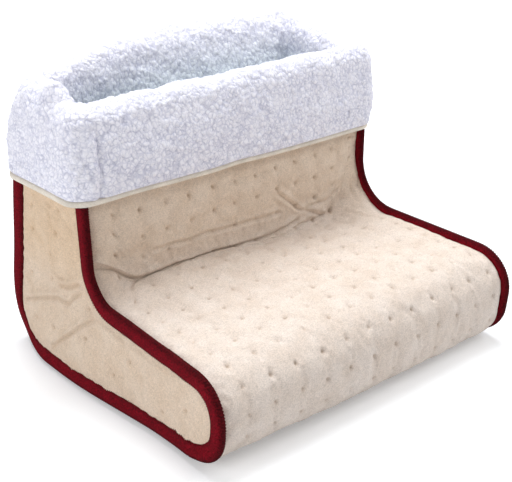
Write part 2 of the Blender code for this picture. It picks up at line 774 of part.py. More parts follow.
def thermal_cutout(case, metal, contact, bimetal, pocketed):
    """A snap-blade cut-out: the blade's free end lifts off the fixed contact when it is too hot."""
    low, high = cutout_box(0)
    y = wire_rows()[-1]
    lid_bottom = high[2] - CUTOUT_LID
    base = box("cutout_base", low, (high[0], high[1], lid_bottom - GAP), case)
    hollow_low = [v + CUTOUT_WALL for v in low]
    hollow_high = (high[0] - CUTOUT_WALL, high[1] - CUTOUT_WALL, lid_bottom + OVERRUN)
    cut(base, box("cutout_hollow", hollow_low, hollow_high, case))
    box("cutout_lid", (low[0], low[1], lid_bottom), high, case)
    floor = hollow_low[2] + GAP
    half = STRIP_WIDTH / 2
    fixed_end = low[0] + CUTOUT_WALL + BLADE_LENGTH / 2
    box("fixed_terminal", (low[0] - TAG, y - half, floor), (fixed_end, y + half, floor + STRIP), metal)
    contact_x = fixed_end - CONTACT_DIAMETER
    seat = floor + STRIP + GAP
    for name in ("fixed_contact", "blade_contact"):
        foot, head = (contact_x, y, seat), (contact_x, y, seat + CONTACT_HEIGHT)
        rod(name, foot, head, CONTACT_DIAMETER, contact)
        seat += CONTACT_HEIGHT + GAP
    blade = seat
    tip = contact_x - CONTACT_DIAMETER
    box("bimetal_blade", (tip, y - half, blade), (tip + BLADE_LENGTH, y + half, blade + STRIP), bimetal)
    post = blade - GAP
    root = tip + BLADE_LENGTH
    shelf = (high[0] + TAG, y + half, post)
    box("blade_terminal", (root - half, y - half, post - STRIP), shelf, metal)
    slots = []
    for name, x0, x1, z0 in (
        ("fixed_slot", low[0] - OVERRUN, low[0] + CUTOUT_WALL + OVERRUN, floor),
        ("blade_slot", high[0] - CUTOUT_WALL - OVERRUN, high[0] + OVERRUN, post - STRIP),
    ):
        slot_low = (x0, y - half - GAP, z0 - GAP)
        slots.append(box(name, slot_low, (x1, y + half + GAP, z0 + STRIP + GAP), case))
    cut(base, *slots)
    pocket_low, pocket_high = cutout_box(GAP)
    pocket_low = (pocket_low[0] - TAG - LEAD_CLIMB, *pocket_low[1:])
    pocket_high = (pocket_high[0] + TAG + GAP, *pocket_high[1:])
    for k, piece in enumerate(pocketed):
        cut(piece, box(f"cutout_pocket_{k}", pocket_low, pocket_high, case))
    axis = (root, y, blade)
    print("blade hinge at", [round(v, 5) for v in axis], "tip", round(tip, 5))


# The inlet on the back


def inlet_place():
    """A frame on the back cover: x across, y out of the wall, z up along it."""
    bottom, top = Vector((HEEL, GRIP_HEIGHT)), Vector((SHAFT_BACK, HEM_HEIGHT))
    share = (INLET_HEIGHT - bottom[1]) / (top[1] - bottom[1])
    spot = bottom.lerp(top, share)
    tilt = math.atan2(bottom[0] - top[0], top[1] - bottom[1])
    return Matrix.Translation((INLET_X, spot[0], spot[1])) @ Matrix.Rotation(tilt, 4, "X")


def inlet(plastic, brass, steel, cover, padding):
    place = inlet_place()
    half, rise = INLET_WIDTH / 2, INLET_RISE / 2
    wide, tall = FLANGE_WIDTH / 2, FLANGE_RISE / 2
    body_high = (half, GAP + FLANGE / 2, rise)
    body = box("inlet_housing", (-half, -INLET_INSET, -rise), body_high, plastic, place)
    flange_high = (wide, GAP + FLANGE, tall)
    flange = box("inlet_flange", (-wide, GAP, -tall), flange_high, plastic, place)
    flange.hide_render = True
    flange.display_type = "WIRE"
    joined = body.modifiers.new("flange", "BOOLEAN")
    joined.object = flange
    joined.operation = "UNION"
    joined.solver = "EXACT"
    mouth_low = (-half + INLET_WALL, -INLET_INSET + INLET_WALL, -rise + INLET_WALL)
    mouth_high = (half - INLET_WALL, GAP + FLANGE + OVERRUN, rise - INLET_WALL)
    cut(body, box("inlet_mouth", mouth_low, mouth_high, plastic, place))
    pin_end = GAP + FLANGE - PIN_SHORT
    for name, x in (("inlet_pin_left", -PIN_SPACING / 2), ("inlet_pin_right", PIN_SPACING / 2)):
        rod(name, (x, -INLET_INSET - PIN_STUB, 0), (x, pin_end, 0), PIN_DIAMETER, brass, place)
        bore = PIN_DIAMETER + 2 * GAP
        hole = rod(name + "_hole", (x, -INLET_INSET - OVERRUN, 0), (x, 0, 0), bore, plastic, place)
        cut(body, hole)
    plate_low = (-wide, -COVER - GAP - PLATE, -tall)
    backing = box("inlet_backing_plate", plate_low, (wide, -COVER - GAP, tall), steel, place)
    around = (half + GAP, rise + GAP)
    opening_low = (-around[0], -COVER - PADDING - OVERRUN, -around[1])
    cut(backing, box("plate_opening", opening_low, (around[0], OVERRUN, around[1]), steel, place))
    cut(cover, box("cover_opening", opening_low, (around[0], OVERRUN, around[1]), steel, place))
    rivet_back = -COVER - GAP - PLATE - GAP
    for name, x in (("inlet_rivet_left", -RIVET_SPACING / 2), ("inlet_rivet_right", RIVET_SPACING / 2)):
        rivet(name, x, rivet_back, GAP + FLANGE + GAP, steel, place)
        for k, piece in enumerate((body, backing, cover)):
            bore = RIVET_DIAMETER + 2 * GAP
            end = (x, GAP + FLANGE + OVERRUN, 0)
            hole = rod(f"{name}_hole_{k}", (x, rivet_back, 0), end, bore, steel, place)
            cut(piece, hole)
    recess_low = (-wide - GAP, -COVER - PADDING - OVERRUN, -tall - GAP)
    recess_high = (wide + GAP, -COVER + GAP, tall + GAP)
    cut(padding, box("padding_recess", recess_low, recess_high, steel, place))


def rivet(name, x, back, front, finish, place):
    """A shank with a head at each end, turned as one piece."""
    half, head = RIVET_DIAMETER / 2, RIVET_HEAD / 2
    profile = [
        (head, back - RIVET_HEAD_HEIGHT),
        (head, back),
        (half, back),
        (half, front),
        (head, front),
        (head, front + RIVET_HEAD_HEIGHT),
    ]
    points, faces = [], []
    for radius, y in profile:
        for i in range(ROUND_SIDES):
            angle = 2 * math.pi * i / ROUND_SIDES
            points.append((x + radius * math.cos(angle), y, radius * math.sin(angle)))
    for k in range(len(profile) - 1):
        low, high = k * ROUND_SIDES, (k + 1) * ROUND_SIDES
        for i in range(ROUND_SIDES):
            n = (i + 1) % ROUND_SIDES
            faces.append((low + i, low + n, high + n, high + i))
    faces += [tuple(range(ROUND_SIDES)), tuple(range(len(points) - ROUND_SIDES, len(points)))]
    return add_mesh(name, points, faces, finish, place)


def leads(finish, padding):
    """The two leads: along the heater's rear edge, then up a channel in the back padding to the pins."""
    place = inlet_place()
    y = wire_rows()[-1]
    feed = -WIRE_REACH - FEED_STEP
    near, far = y + CUTOUT_WIDTH / 2 + WIRE_DIAMETER * 2, y + CUTOUT_WIDTH / 2 + WIRE_DIAMETER * 4
    low, high = cutout_box(0)
    terminal = low[2] + CUTOUT_WALL + GAP + STRIP / 2
    _, climb = above(stretch(PADDING_DEPTH + PADDING / 2, FRONT_TOP, BACK_TOP), WIRE_HEIGHT)
    starts = {
        "feed_lead": [(feed, y + 2 * GAP, WIRE_HEIGHT), (feed, far, WIRE_HEIGHT)],
        "cutout_lead": [
            (low[0] - TAG - GAP, y, terminal),
            (low[0] - TAG - LEAD_CLIMB / 3, y, terminal),
            (low[0] - TAG - LEAD_CLIMB * 2 / 3, y, WIRE_HEIGHT),
            (low[0] - TAG - LEAD_CLIMB * 2 / 3, near, WIRE_HEIGHT),
        ],
    }
    for name, x, row in (("feed_lead", -PIN_SPACING / 2, far), ("cutout_lead", PIN_SPACING / 2, near)):
        depth = -INLET_INSET - GAP * 2 - WIRE_DIAMETER / 2
        end = place @ Vector((x, depth, -PIN_DIAMETER / 2 - GAP))
        foot = place @ Vector((x, depth, -FLANGE_RISE))
        across = INLET_X + x
        bend = [(across, *spot) for spot in climb if spot[1] < foot[2]]
        route = starts[name] + [(across, row, WIRE_HEIGHT)] + bend + [foot, end]
        tube(name, bent(route, WIRE_DIAMETER * 2), WIRE_DIAMETER, finish)
    half = (PIN_SPACING + CHANNEL) / 2
    low = (INLET_X - half, SHAFT_BACK, PAD_TOP)
    channel = box("lead_channel", low, (INLET_X + half, HEEL, INLET_HEIGHT), finish)
    cut(padding, channel)


def build():
    clear_scene()
    plush = material("cream plush", (0.80, 0.68, 0.56), 0.95)
    side_plush = material("side plush", (0.74, 0.62, 0.50), 0.95)
    tape = material("dark red tape", (0.20, 0.006, 0.018), 0.75)
    pile = material("curly pile", (0.82, 0.82, 0.88), 1.0)
    foam = material("padding", (0.86, 0.84, 0.78), 0.9)
    grip = material("grip fabric", (0.45, 0.42, 0.38), 0.8)
    hem = material("hem tape", (0.82, 0.76, 0.68), 0.85)
    felt = material("felt", (0.62, 0.60, 0.56), 1.0)
    silicone = material("wire sleeve", (0.60, 0.08, 0.05), 0.5)
    lead = material("lead", (0.75, 0.75, 0.72), 0.5)
    case = material("cut-out case", (0.08, 0.05, 0.04), 0.4)
    brass = material("brass", (0.80, 0.58, 0.25), 0.3, 1.0)
    silver = material("contact", (0.80, 0.80, 0.78), 0.25, 1.0)
    blade = material("bimetal", (0.62, 0.58, 0.52), 0.35, 1.0)
    black = material("inlet plastic", (0.03, 0.03, 0.03), 0.45)
    steel = material("steel", (0.62, 0.62, 0.62), 0.35, 1.0)

    upper_cover(plush)
    cover = back_strip("back_cover", 0, COVER, HALF_COVER, plush)
    side_cover("left_cover", -1, side_plush)
    side_cover("right_cover", 1, side_plush)
    sole_cover(grip)
    binding("left_binding", -1, tape)
    binding("right_binding", 1, tape)

    upper_padding(foam)
    back_padding = back_strip("back_padding", PADDING_DEPTH, PADDING, HALF_PADDING, foam)
    side_padding("left_padding", -1, foam)
    side_padding("right_padding", 1, foam)
    under = sole_padding(foam)

    wall_linings(pile)
    side_lining("left_lining", -1, pile)
    side_lining("right_lining", 1, pile)
    footbed(pile)

    for wall in ("front", "back", "left", "right"):
        cuff_panel(f"{wall}_cuff", wall, pile)
    hem_tape(hem)

    lower = heater(felt, silicone, silver)
    thermal_cutout(case, brass, silver, blade, (under, lower))
    inlet(black, brass, steel, cover, back_padding)
    leads(lead, back_padding)


build()
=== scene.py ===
# %% [markdown]
# # A quilted foot warmer, dressed in plush, curly pile and ribbed tape
#
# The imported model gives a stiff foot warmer: its walls are plain shells, with few folds and no pile. The
# real one is sewn from soft sheets. This lesson keeps the hard pieces of that model, such as the inlet and
# the cut-out, and makes each soft piece again as a fine mesh in the same place.

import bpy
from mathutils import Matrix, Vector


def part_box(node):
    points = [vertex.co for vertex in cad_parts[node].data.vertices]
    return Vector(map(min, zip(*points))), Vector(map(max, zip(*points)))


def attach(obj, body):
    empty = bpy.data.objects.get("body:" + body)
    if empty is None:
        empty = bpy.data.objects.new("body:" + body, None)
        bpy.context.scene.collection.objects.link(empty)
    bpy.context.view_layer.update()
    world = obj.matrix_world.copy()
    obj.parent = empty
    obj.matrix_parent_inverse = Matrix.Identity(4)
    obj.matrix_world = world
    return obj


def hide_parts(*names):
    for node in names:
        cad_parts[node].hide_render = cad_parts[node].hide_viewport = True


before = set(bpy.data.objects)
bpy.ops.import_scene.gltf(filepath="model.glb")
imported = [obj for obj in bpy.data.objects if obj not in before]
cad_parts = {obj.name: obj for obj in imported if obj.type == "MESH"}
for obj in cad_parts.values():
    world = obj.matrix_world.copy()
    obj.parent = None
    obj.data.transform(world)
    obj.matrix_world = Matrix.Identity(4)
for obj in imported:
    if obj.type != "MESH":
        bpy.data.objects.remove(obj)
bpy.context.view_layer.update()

# %% Blender's modules
import math

import bpy
import numpy as np
from mathutils import Vector, noise
from mathutils.geometry import delaunay_2d_cdt

MM = 0.001
print("Blender", bpy.app.version_string)

# %% [markdown]
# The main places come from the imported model. Sags, creases and the settled outline were read off the
# photograph. The walls have three layers: a plush cover, wadding, and curly pile inside. Each has a depth
# at which it starts.

# %% Places and layers from the model
tape_low, tape_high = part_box("cuff_hem_tape")
cuff_out = 9.8 * MM
half_width = tape_high.x - cuff_out
shaft_front = tape_low.y + cuff_out
shaft_back = tape_high.y - cuff_out
heel_y = shaft_back + 30 * MM
hem_z = tape_low.z
wall_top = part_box("upper_cover")[1].z
seam_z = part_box("upper_lining")[1].z
rim_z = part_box("front_cuff")[1].z
sole_z = 1.0 * MM
sole_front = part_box("sole_cover")[0].y - 0.3 * MM
sole_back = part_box("sole_cover")[1].y + 0.3 * MM
cover = 5.0 * MM
padding_depth = 5.3 * MM
padding = 5.0 * MM
lining_depth = 10.6 * MM
wall = 19.6 * MM
half_cover = half_width - 5.3 * MM
half_padding = half_width - 10.6 * MM
half_lining = half_width - 19.9 * MM
print("shaft", round(shaft_front, 4), round(shaft_back, 4), "rim", round(rim_z, 4), "seam", round(seam_z, 4))


# %% [markdown]
# ## The outline
#
# Seen from the side, a foot warmer is a boot: a shaft, an instep, a rounded toe, a flat sole and a heel.
# The soft body has settled unevenly, so its right side has a longer toe and stands further back at the
# shaft than its left side. Halfway between them the instep has folded to a sharp crease. Each outline is
# a short list of corners, and a corner's third value is its radius. Side -1 is left, 0 middle and 1 right.

# %% The corners of each side
FRONT_TOP, FRONT_SEAM, FRONT_HEM = 0, 1, 2
SOLE_FRONT, SOLE_BACK = 6, 7
WAIST, BACK_SEAM, BACK_TOP = 9, 10, 11
settled = {
    -1: {"shaft": 0, "instep": 75, "nose": 151, "toe": 66, "lift": 9, "radii": (30, 24, 27)},
    0: {"shaft": 4, "instep": 72, "nose": 155, "toe": 69, "lift": 6, "radii": (9, 27, 25)},
    1: {"shaft": 8, "instep": 79, "nose": 160, "toe": 73, "lift": 2, "radii": (46, 28, 25)},
}
sole_share = 0.2


def side_corners(side, bottom=sole_z):
    """The corners of one outline as (y, z, radius)."""
    way = settled[side]
    y = shaft_front + way["shaft"] * MM
    front = shaft_front - way["nose"] * MM
    lift = way["lift"] * MM
    instep, nose, toe = (r * MM for r in way["radii"])
    return [
        (y, wall_top, 0),
        (y, seam_z, 0),
        (y, hem_z, 0),
        (y, way["instep"] * MM, instep),
        (front, way["toe"] * MM, nose),
        (front + 4 * MM, bottom + lift, toe),
        (sole_front, bottom + lift * sole_share, 0),
        (sole_back, bottom, 0),
        (heel_y, bottom, 30 * MM),
        (shaft_back, hem_z, 40 * MM),
        (shaft_back, seam_z, 0),
        (shaft_back, wall_top, 0),
    ]


print("each outline has", len(side_corners(-1)), "corners")

# %% [markdown]
# A line through the corners is rounded by arcs. All three outlines get the same number of points on each
# arc and on each straight, so a point on the left lies across from the same point on the right, and a
# strip of cloth between the two sides is a plain grid.

# %% Rounded lines with matching points


def steps_between(start, end, count):
    """The points that cut the way between two places into equal steps."""
    return [start + (end - start) * k / count for k in range(1, count)]


def lengths_along(line):
    """How far along a line each of its points is."""
    return np.r_[0, np.cumsum(np.linalg.norm(np.diff(line, axis=0), axis=1))]


def turn_at(ways, i):
    before, after = ways[i], ways[i + 1]
    return math.atan2(before[0] * after[1] - before[1] * after[0], before @ after)


def moved_corners(corners, depth):
    """The corners moved inwards, with the way of the line before and after each, and the inward normals."""
    spots = np.array([c[:2] for c in corners])
    ways = np.diff(spots, axis=0)
    ways /= np.linalg.norm(ways, axis=1)[:, None]
    ways = np.vstack([ways[:1], ways, ways[-1:]])
    inward = np.stack([-ways[:, 1], ways[:, 0]], axis=1)
    both = inward[:-1] + inward[1:]
    share = 1 + (inward[:-1] * inward[1:]).sum(axis=1)
    return spots + both * depth / share[:, None], ways, inward


def arc_at(corners, moved, ways, inward, i, depth, count):
    """The points of the arc at a corner, or the corner itself."""
    radius = corners[i][2]
    turn = turn_at(ways, i)
    if not radius:
        return [moved[i]]
    size = max(radius - math.copysign(depth, turn), 2 * MM)
    start = moved[i] - ways[i] * size * math.tan(abs(turn) / 2)
    centre = start + inward[i] * math.copysign(size, turn)
    arm = start - centre
    points = []
    for k in range(count + 1):
        c, s = math.cos(turn * k / count), math.sin(turn * k / count)
        points.append(centre + np.array((arm[0] * c - arm[1] * s, arm[0] * s + arm[1] * c)))
    return points


def rounded_line(side, depth, step, bottom=sole_z):
    """Points along a side's rounded outline, and the first and last index at each corner."""
    corners = side_corners(side, bottom)
    moved, ways, inward = moved_corners(corners, depth)
    plain = moved_corners(side_corners(-1), 0)[0]
    arc_count = max(6, round(34 * MM / step))
    arcs = [arc_at(corners, moved, ways, inward, i, depth, arc_count) for i in range(len(corners))]
    points, first, last = [], [], []
    for i, arc in enumerate(arcs):
        first.append(len(points))
        points += arc
        last.append(len(points) - 1)
        if i + 1 < len(arcs):
            start, end = arc[-1], arcs[i + 1][0]
            rounding = sum(18 * MM for c in (corners[i], corners[i + 1]) if c[2])
            count = max(2, round((np.linalg.norm(plain[i + 1] - plain[i]) - rounding) / step))
            points += steps_between(start, end, count)
    return np.array(points), first, last


def between(side, depth, start, end, step, bottom=sole_z):
    points, first, last = rounded_line(side, depth, step, bottom)
    return points[first[start] : last[end] + 1]


print("points along the upper cover", [len(between(s, 0, FRONT_HEM, SOLE_FRONT, 3 * MM)) for s in settled])

# %% [markdown]
# The back of the shaft isn't straight: the cuff pulls the rim back in the middle and lets it fall forward
# at the left. The left wall has spread at the heel. The fold at the instep rises on its left half and sags
# on its right. These are movements of points, which the layers there share, so that they stay on each other.

# %% The lean of the walls and the sag of the instep
lean_values = (-16 * MM, 28 * MM, 22 * MM)
rise_values = (2 * MM, 22 * MM, 19 * MM)


def through(values, share):
    """A smooth curve through three values, at -1, 0 and 1."""
    left, middle, right = values
    return middle + (right - left) / 2 * share + ((left + right) / 2 - middle) * share**2


def smooth_step(values, low, high):
    """0 below one value, 1 above another, and a smooth rise between them."""
    t = np.clip((values - low) / (high - low), 0, 1)
    return t * t * (3 - 2 * t)


def near(points, x, y, size):
    """1 above a place on the floor, and 0 far from it."""
    return np.exp(-((np.hypot(points[..., 0] - x, points[..., 1] - y) / size) ** 2))


def splayed(points):
    """Points moved outwards near the left side of the heel, where the soft wall has sunk and spread."""
    points = np.array(points, dtype=float)
    y = points[..., 1]
    behind = smooth_step(y, -90 * MM, 50 * MM) * (1 - 0.8 * smooth_step(y, 70 * MM, 130 * MM))
    low = 1 - smooth_step(points[..., 2], 0, 80 * MM)
    points[..., 0] -= 11 * MM * behind * low * smooth_step(-points[..., 0], 60 * MM, half_width)
    return points


def leaned(points):
    """Points of the straight boot moved to where the soft walls lie, up to the wavy rim."""
    points = splayed(points)
    front, back = shaft_front + 21.6 * MM, shaft_back - 21.6 * MM
    along = np.clip((points[..., 1] - front) / (back - front), 0, 1)
    height = np.clip((points[..., 2] - hem_z) / (rim_z - hem_z), 0, 1.2)
    share = points[..., 0] / half_width
    wave = 4 * MM * share * (1 - along) - 2 * MM
    wave += 10 * MM * smooth_step(-share, 0.8, 0.97) * np.exp(-(((along - 0.3) / 0.3) ** 2))
    wave -= 5 * MM * near(points, -half_width, shaft_front, 20 * MM)
    wave += 6 * MM * near(points, half_width - 4 * MM, shaft_back - 4 * MM, 15 * MM)
    weight = along * height**1.5
    points[..., 1] += weight * through(lean_values, share)
    points[..., 2] += weight * through(rise_values, share) + wave * height**2
    return points


instep_sag = 6 * MM


def sagged(points):
    """Points near the fold at the instep, moved up on its left half and down on its right half."""
    share = points[..., 0] / half_width
    away = np.hypot(points[..., 1] - shaft_front - 4 * MM, points[..., 2] - 75 * MM)
    points[..., 2] -= instep_sag * np.sin(np.pi * share) * np.exp(-((away / (32 * MM)) ** 2))
    return points


print("lean at the rim", (leaned([0, shaft_back, rim_z]) - [0, shaft_back, rim_z]).round(4))


# %% [markdown]
# ## Building solids from two skins
#
# Every sewn piece has a face that shows and a back. One helper takes both skins as matching points with
# one list of faces, turns the back over and closes all the open edges, round the outside and round holes.

# %% Helpers that build meshes


def grid_faces(rows, columns, keep=None):
    """The quads of a grid of points. `keep` may leave some out, to make a hole."""
    index = np.arange(rows * columns).reshape(rows, columns)
    quads = np.stack([index[:-1, :-1], index[1:, :-1], index[1:, 1:], index[:-1, 1:]], axis=-1)
    quads = quads.reshape(-1, 4)
    return quads if keep is None else quads[keep.ravel()]


def new_piece(name, points, faces, finish):
    """A smooth object from points and faces."""
    mesh = bpy.data.meshes.new(name)
    mesh.from_pydata(np.asarray(points, dtype=float).tolist(), [], [tuple(map(int, f)) for f in faces])
    mesh.shade_smooth()
    mesh.materials.append(finish)
    piece = bpy.data.objects.new(name, mesh)
    bpy.context.scene.collection.objects.link(piece)
    return piece


def sharpen(piece, pairs):
    """Marks edges as sharp, so that the shading doesn't run round them."""
    wanted = {(min(a, b), max(a, b)) for a, b in pairs}
    mesh = piece.data
    ends = np.empty(len(mesh.edges) * 2, dtype=np.int32)
    mesh.edges.foreach_get("vertices", ends)
    flags = [(min(a, b), max(a, b)) in wanted for a, b in ends.reshape(-1, 2).tolist()]
    mesh.attributes.new("sharp_edge", "BOOLEAN", "EDGE").data.foreach_set("value", flags)


def two_skins(name, face_skin, back_skin, faces, finish):
    """A closed solid between two skins that share their faces."""
    face_skin = np.asarray(face_skin).reshape(-1, 3)
    back_skin = np.asarray(back_skin).reshape(-1, 3)
    count = len(face_skin)
    faces = [tuple(int(i) for i in f) for f in faces]
    seen = {(a, b) for f in faces for a, b in zip(f, f[1:] + f[:1])}
    rim = sorted((a, b) for a, b in seen if (b, a) not in seen)
    solid = faces + [tuple(count + i for i in reversed(f)) for f in faces]
    solid += [(b, a, count + a, count + b) for a, b in rim]
    used = sorted({i for f in solid for i in f})
    place = {old: new for new, old in enumerate(used)}
    points = np.vstack([face_skin, back_skin])[used]
    piece = new_piece(name, points, [[place[i] for i in f] for f in solid], finish)
    over, under = ([(place[k + a], place[k + b]) for a, b in rim] for k in (0, count))
    sharpen(piece, over + under)
    return piece


def grid_normals(grid):
    """The unit normal at each point of a grid."""
    normals = np.cross(np.gradient(grid, axis=0), np.gradient(grid, axis=1))
    return normals / np.maximum(np.linalg.norm(normals, axis=2, keepdims=True), 1e-12)


def strip(depth, start, end, step, half, columns):
    """A grid of points between the two sides, one row for each point along them."""
    return spread([between(side, depth, start, end, step) for side in (-1, 0, 1)], half, columns)


def spread(lines, half, columns):
    """A grid of points through the left, middle and right line of (y, z)."""
    left, middle, right = (line[:, None, :] for line in lines)
    shares = np.linspace(-1, 1, columns)
    weight = (shares[None, :, None] + 1) / 2
    straight = left * (1 - weight) + right * weight
    inner = smooth_step(1 - np.abs(shares), 0, 0.3)[None, :, None]
    line = straight + (middle - (left + right) / 2) * inner
    x = np.broadcast_to(shares[None, :, None] * half, (*line.shape[:2], 1))
    return leaned(sagged(np.concatenate([x, line], axis=2)))


def loft(name, loops, finish, closed=False):
    """A tube through loops of points: a ring if closed, and otherwise with both ends capped."""
    loops = np.asarray(loops)
    rows, count = loops.shape[:2]
    faces = []
    for k in range(rows if closed else rows - 1):
        low, high = k * count, (k + 1) % rows * count
        faces += [(low + i, high + i, high + (i + 1) % count, low + (i + 1) % count) for i in range(count)]
    ends = []
    if not closed:
        ends = [tuple(range(count)), tuple(range(rows * count - 1, (rows - 1) * count - 1, -1))]
    piece = new_piece(name, loops.reshape(-1, 3), faces + ends, finish)
    if ends:
        sharpen(piece, [(a, b) for f in ends for a, b in zip(f, f[1:] + f[:1])])
    return piece


def fitted(piece, body, slot, *nodes):
    """Says which body a piece rides on and the nodes that it stands for. The slot is not used."""
    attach(piece, body)
    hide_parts(*nodes)
    print(piece.name, "has", len(piece.data.vertices), "points")


print("mesh helpers ready")

# %% [markdown]
# Soft cloth is never quite even, so random heights are added. They come from fixed noise, which gives
# the same heights on every run. Blender seeds one kind of noise from the clock, the one that bends the
# curls further on, so its seed is set here.

# %% Random heights
noise.seed_set(1)


def lumps(points, size, seed, octaves=2):
    """Soft random heights from about -1 to 1, one for each point."""
    points = np.asarray(points)
    shift = Vector((seed * 7.1, seed * 3.7, seed * 1.9))
    flat = (points.reshape(-1, 3) / size).tolist()
    values = [noise.fractal(Vector(p) + shift, 0.8, 2.0, octaves) for p in flat]
    return np.array(values).reshape(points.shape[:-1])


print("lumps", lumps([[0, 0, 0], [0.1, 0, 0]], 30 * MM, 1).round(2))


# %% [markdown]
# ## Finishes
#
# Plush, pile and tape are told apart by their surface far more than by their colour. Each finish here
# is a Principled shader whose colour and bump come from noise at the size of the real fibres.

# %% Node helpers


def new_finish(name, roughness, metallic=0.0, gloss=0.5):
    """A new material, with its node tree and its Principled shader."""
    made = bpy.data.materials.new(name)
    made.use_nodes = True
    shader = made.node_tree.nodes["Principled BSDF"]
    shader.inputs["Roughness"].default_value = roughness
    shader.inputs["Metallic"].default_value = metallic
    shader.inputs["Specular IOR Level"].default_value = gloss
    return made, made.node_tree, shader


def noise_node(tree, scale, detail, roughness=0.5, distortion=0.0, stretch=(1, 1, 1)):
    """Noise over the object's own coordinates, in metres."""
    place = tree.nodes.new("ShaderNodeTexCoord")
    mapping = tree.nodes.new("ShaderNodeMapping")
    mapping.inputs["Scale"].default_value = stretch
    made = tree.nodes.new("ShaderNodeTexNoise")
    made.inputs["Scale"].default_value = scale
    made.inputs["Detail"].default_value = detail
    made.inputs["Roughness"].default_value = roughness
    made.inputs["Distortion"].default_value = distortion
    tree.links.new(place.outputs["Object"], mapping.inputs["Vector"])
    tree.links.new(mapping.outputs["Vector"], made.inputs["Vector"])
    return made.outputs["Fac"]


def ramp_node(tree, value, stops):
    """A colour ramp with stops of (position, colour)."""
    ramp = tree.nodes.new("ShaderNodeValToRGB")
    ramp.color_ramp.elements.remove(ramp.color_ramp.elements[1])
    ramp.color_ramp.elements[0].position = stops[0][0]
    ramp.color_ramp.elements[0].color = (*stops[0][1], 1)
    for position, colour in stops[1:]:
        ramp.color_ramp.elements.new(position).color = (*colour, 1)
    tree.links.new(value, ramp.inputs["Fac"])
    return ramp.outputs["Color"]


def kept_value(tree, name):
    """The value that a mesh keeps under a name for each of its points."""
    made = tree.nodes.new("ShaderNodeAttribute")
    made.attribute_name = name
    return made.outputs["Fac"]


def multiplied(tree, *colours):
    """Colour sockets multiplied together."""
    result = colours[0]
    for colour in colours[1:]:
        mix = tree.nodes.new("ShaderNodeMix")
        mix.data_type = "RGBA"
        mix.blend_type = "MULTIPLY"
        mix.inputs["Factor"].default_value = 1
        tree.links.new(result, mix.inputs[6])
        tree.links.new(colour, mix.inputs[7])
        result = mix.outputs[2]
    return result


def add_bumps(tree, shader, bumps):
    """Bumps on top of each other, each as (height socket, distance in metres, strength)."""
    normal = None
    for height, distance, strength in bumps:
        bump = tree.nodes.new("ShaderNodeBump")
        bump.inputs["Distance"].default_value = distance
        bump.inputs["Strength"].default_value = strength
        tree.links.new(height, bump.inputs["Height"])
        if normal is not None:
            tree.links.new(normal, bump.inputs["Normal"])
        normal = bump.outputs["Normal"]
    tree.links.new(normal, shader.inputs["Normal"])


def add_sheen(shader, weight, tint, roughness=0.4):
    shader.inputs["Sheen Weight"].default_value = weight
    shader.inputs["Sheen Roughness"].default_value = roughness
    shader.inputs["Sheen Tint"].default_value = (*tint, 1)


def grey(value):
    return (value, value, value)


def screen(red, green, blue):
    """A colour as a screen shows it, from 0 to 255, turned into the linear values a shader needs."""

    def linear(value):
        value /= 255
        return value / 12.92 if value <= 0.04045 else ((value + 0.055) / 1.055) ** 2.4

    return tuple(linear(v) for v in (red, green, blue))


print("white is", screen(255, 255, 255))

# %% [markdown]
# Short plush is a soft, warm cream. Its fibres lean in patches, which gives pale and dark clouds, and each
# fibre tip gives a fine grain. A little sheen brightens the edges, as real pile does. Above the instep the
# plush is painted a warmer, darker cream that grows with height: this is painted shade and reflected light
# on the shaft, not the cloth's own colour.

# %% Plush finish


def plush_finish(name, pale, deep):
    made, tree, shader = new_finish(name, 0.95, gloss=0.15)
    clouds = noise_node(tree, 60, 4, 0.6)
    tufts = noise_node(tree, 380, 3, 0.6)
    grain = noise_node(tree, 1100, 3, 0.75)
    place = tree.nodes.new("ShaderNodeTexCoord")
    level = tree.nodes.new("ShaderNodeSeparateXYZ")
    tree.links.new(place.outputs["Object"], level.inputs[0])
    colour = multiplied(
        tree,
        ramp_node(tree, clouds, [(0.32, deep), (0.68, pale)]),
        ramp_node(tree, tufts, [(0.35, grey(0.93)), (0.62, grey(1))]),
        ramp_node(tree, grain, [(0.36, grey(0.74)), (0.62, grey(1))]),
        # darker and browner at the welded dots, at the bottom of each pit
        ramp_node(tree, kept_value(tree, "weld"), [(0.15, grey(1)), (0.9, (0.74, 0.67, 0.60))]),
        # painted shade and reflected light: the plush turns warmer and darker above the instep
        ramp_node(tree, level.outputs["Z"], [(70 * MM, grey(1)), (105 * MM, (1, 0.945, 0.86))]),
    )
    tree.links.new(colour, shader.inputs["Base Color"])
    add_bumps(tree, shader, [(tufts, 0.5 * MM, 0.6), (grain, 0.5 * MM, 0.9)])
    add_sheen(shader, 0.1, (1.0, 0.95, 0.88))
    return made


plush = plush_finish("cream_plush", screen(240, 227, 217), screen(231, 215, 202))
# The side panels get the same plush painted darker and warmer: painted shade.
side_plush = plush_finish("side_plush", screen(238, 218, 198), screen(228, 205, 182))
print("plush ready")
